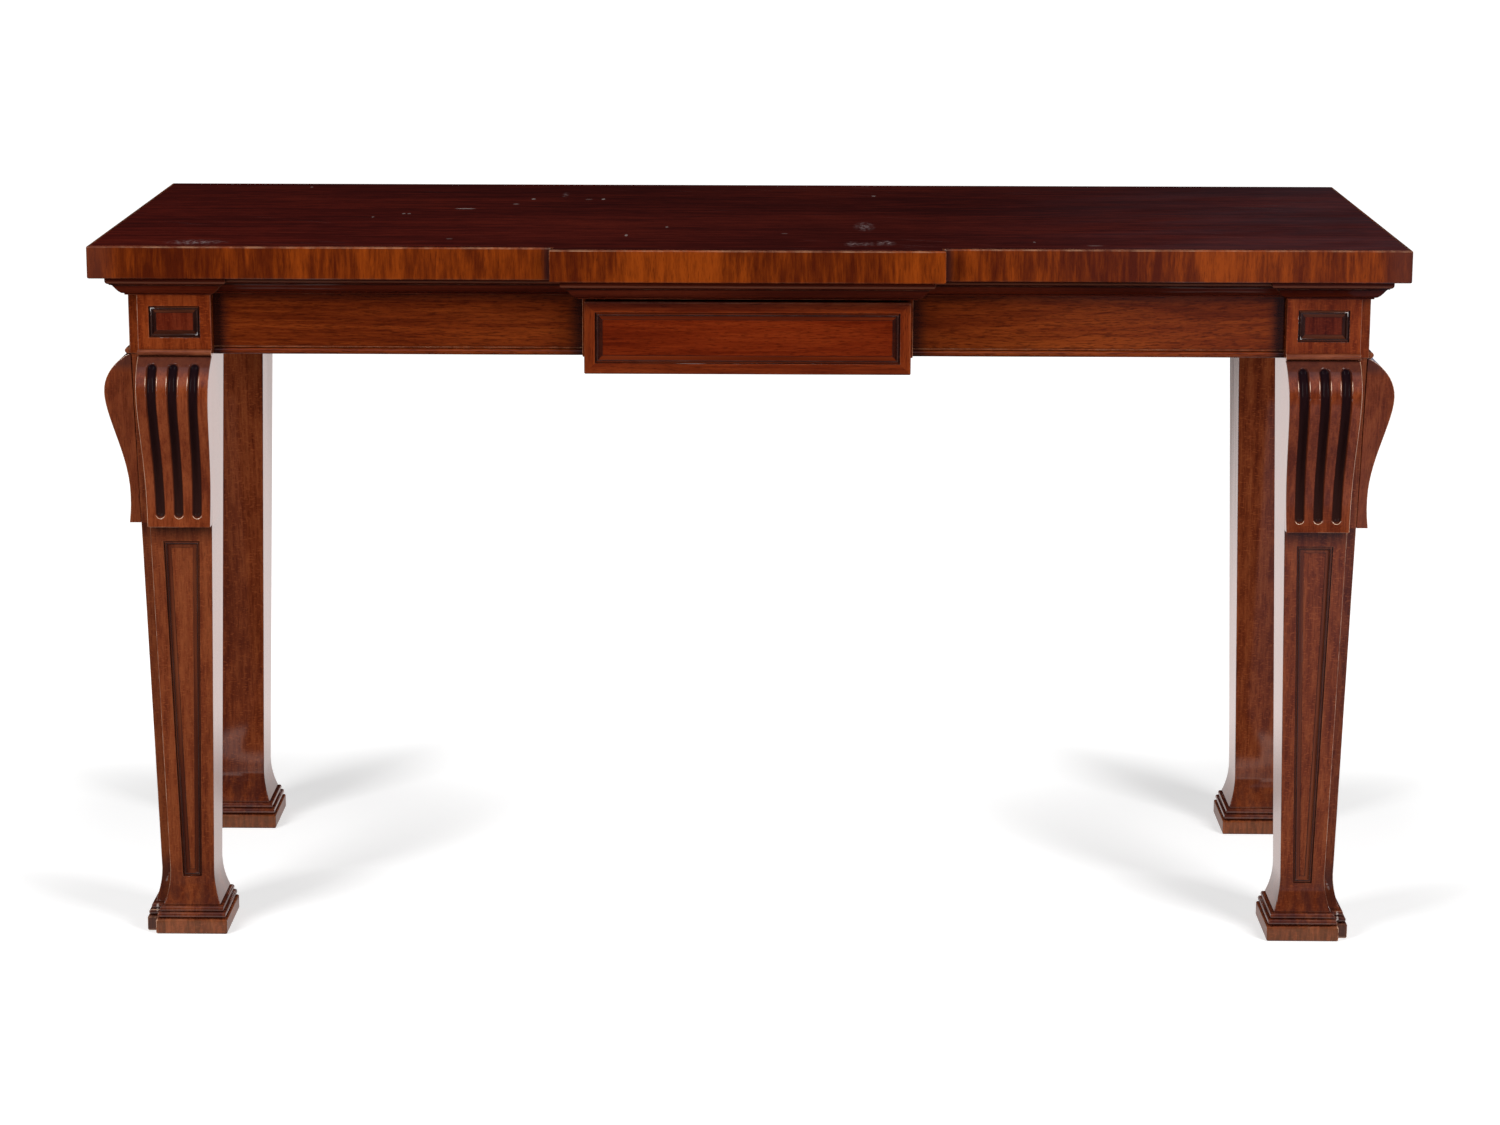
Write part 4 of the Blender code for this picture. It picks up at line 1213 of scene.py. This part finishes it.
def floor_surface(t):
    """The floor keeps the shadows and is seen white.

    The polish mirrors it white beside the feet and in two bands behind the table. Elsewhere a white
    floor would turn the dark polish grey, so the polish finds it nearly black there, with a faint haze
    to the right.
    """
    rays = t.node("ShaderNodeLightPath").outputs
    glossy = rays["Is Glossy Ray"]
    place = t.node("ShaderNodeTexCoord").outputs["Object"]
    x, y, _ = t.parts(place)
    reach = floor_far
    beside = 0.0
    for name in names_with("leg_front", "leg_rear"):
        low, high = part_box(name)
        foot = ((low.x + high.x) / 2, (low.y + high.y) / 2, 0.0)
        away = t.length(t.vector("SUBTRACT", place, foot))
        reach = t.maths("MINIMUM", reach, away)
        beside = t.maths("MAXIMUM", beside, t.spread(away, *foot_mirror_ends, 1.0, 0.0))
    glow = t.spread(reach, floor_near, floor_far, floor_base_light, floor_white)
    glow = t.maths("MULTIPLY", glow, t.blend_values(glossy, 1.0, floor_mirror))
    tint = t.mix(glossy, opaque(white), opaque(floor_mirror_tint))
    kept = t.maths("MAXIMUM", mirror_bands(t, x, y), beside)
    shown = t.maths("MAXIMUM", seen_directly(t, rays), t.maths("MULTIPLY", glossy, kept))
    unseen = t.maths("MULTIPLY", glossy, t.maths("SUBTRACT", 1.0, kept))
    tone = t.blend_values(shown, floor_tone, floor_shadow_share)
    tone = t.maths("MULTIPLY", tone, t.maths("MULTIPLY_ADD", unseen, -floor_mirror_loss, 1.0))
    hazy = t.maths("MULTIPLY", unseen, t.spread(x, *haze_ends, 0.0, haze))
    hazy = t.maths("MULTIPLY", hazy, t.spread(y, *haze_front_ends, haze_far_share, 1.0))
    diffuse = t.node("ShaderNodeBsdfDiffuse", {"Color": t.together(tone, tone, tone)})
    glowing = t.node("ShaderNodeEmission", {"Color": tint, "Strength": t.maths("MULTIPLY", glow, shown)})
    window = t.node("ShaderNodeEmission", {"Color": opaque(haze_colour), "Strength": hazy})
    both = t.node("ShaderNodeAddShader", {0: diffuse.outputs[0], 1: glowing.outputs[0]})
    return t.node("ShaderNodeAddShader", {0: both.outputs[0], 1: window.outputs[0]}).outputs[0]


def make_floor():
    mesh = bpy.data.meshes.new("floor")
    corners = [(-1, -1), (1, -1), (1, 1), (-1, 1)]
    mesh.from_pydata([(x * floor_reach, y * floor_reach, 0.0) for x, y in corners], [], [(0, 1, 2, 3)])
    floor = bpy.data.objects.new("floor", mesh)
    bpy.context.scene.collection.objects.link(floor)
    material = bpy.data.materials.new("floor")
    material.use_nodes = True
    mesh.materials.append(material)
    t = Tree(material.node_tree)
    t.node("ShaderNodeOutputMaterial", {"Surface": floor_surface(t)})
    return floor


def make_camera():
    camera = bpy.data.cameras.new("camera")
    camera.sensor_width = sensor_width
    camera.lens = camera_focal_pixels / photo_width * sensor_width
    camera.shift_x, camera.shift_y = camera_shift
    camera.clip_end = camera_sight
    o = bpy.data.objects.new("camera", camera)
    bpy.context.scene.collection.objects.link(o)
    o.location = camera_place
    o.rotation_euler = Euler((math.pi / 2 - camera_pitch, camera_roll, camera_yaw))
    bpy.context.scene.camera = o


make_table_looks()
make_lamps(make_floor())
make_world()
make_camera()
bpy.context.scene.view_settings.view_transform = "Standard"
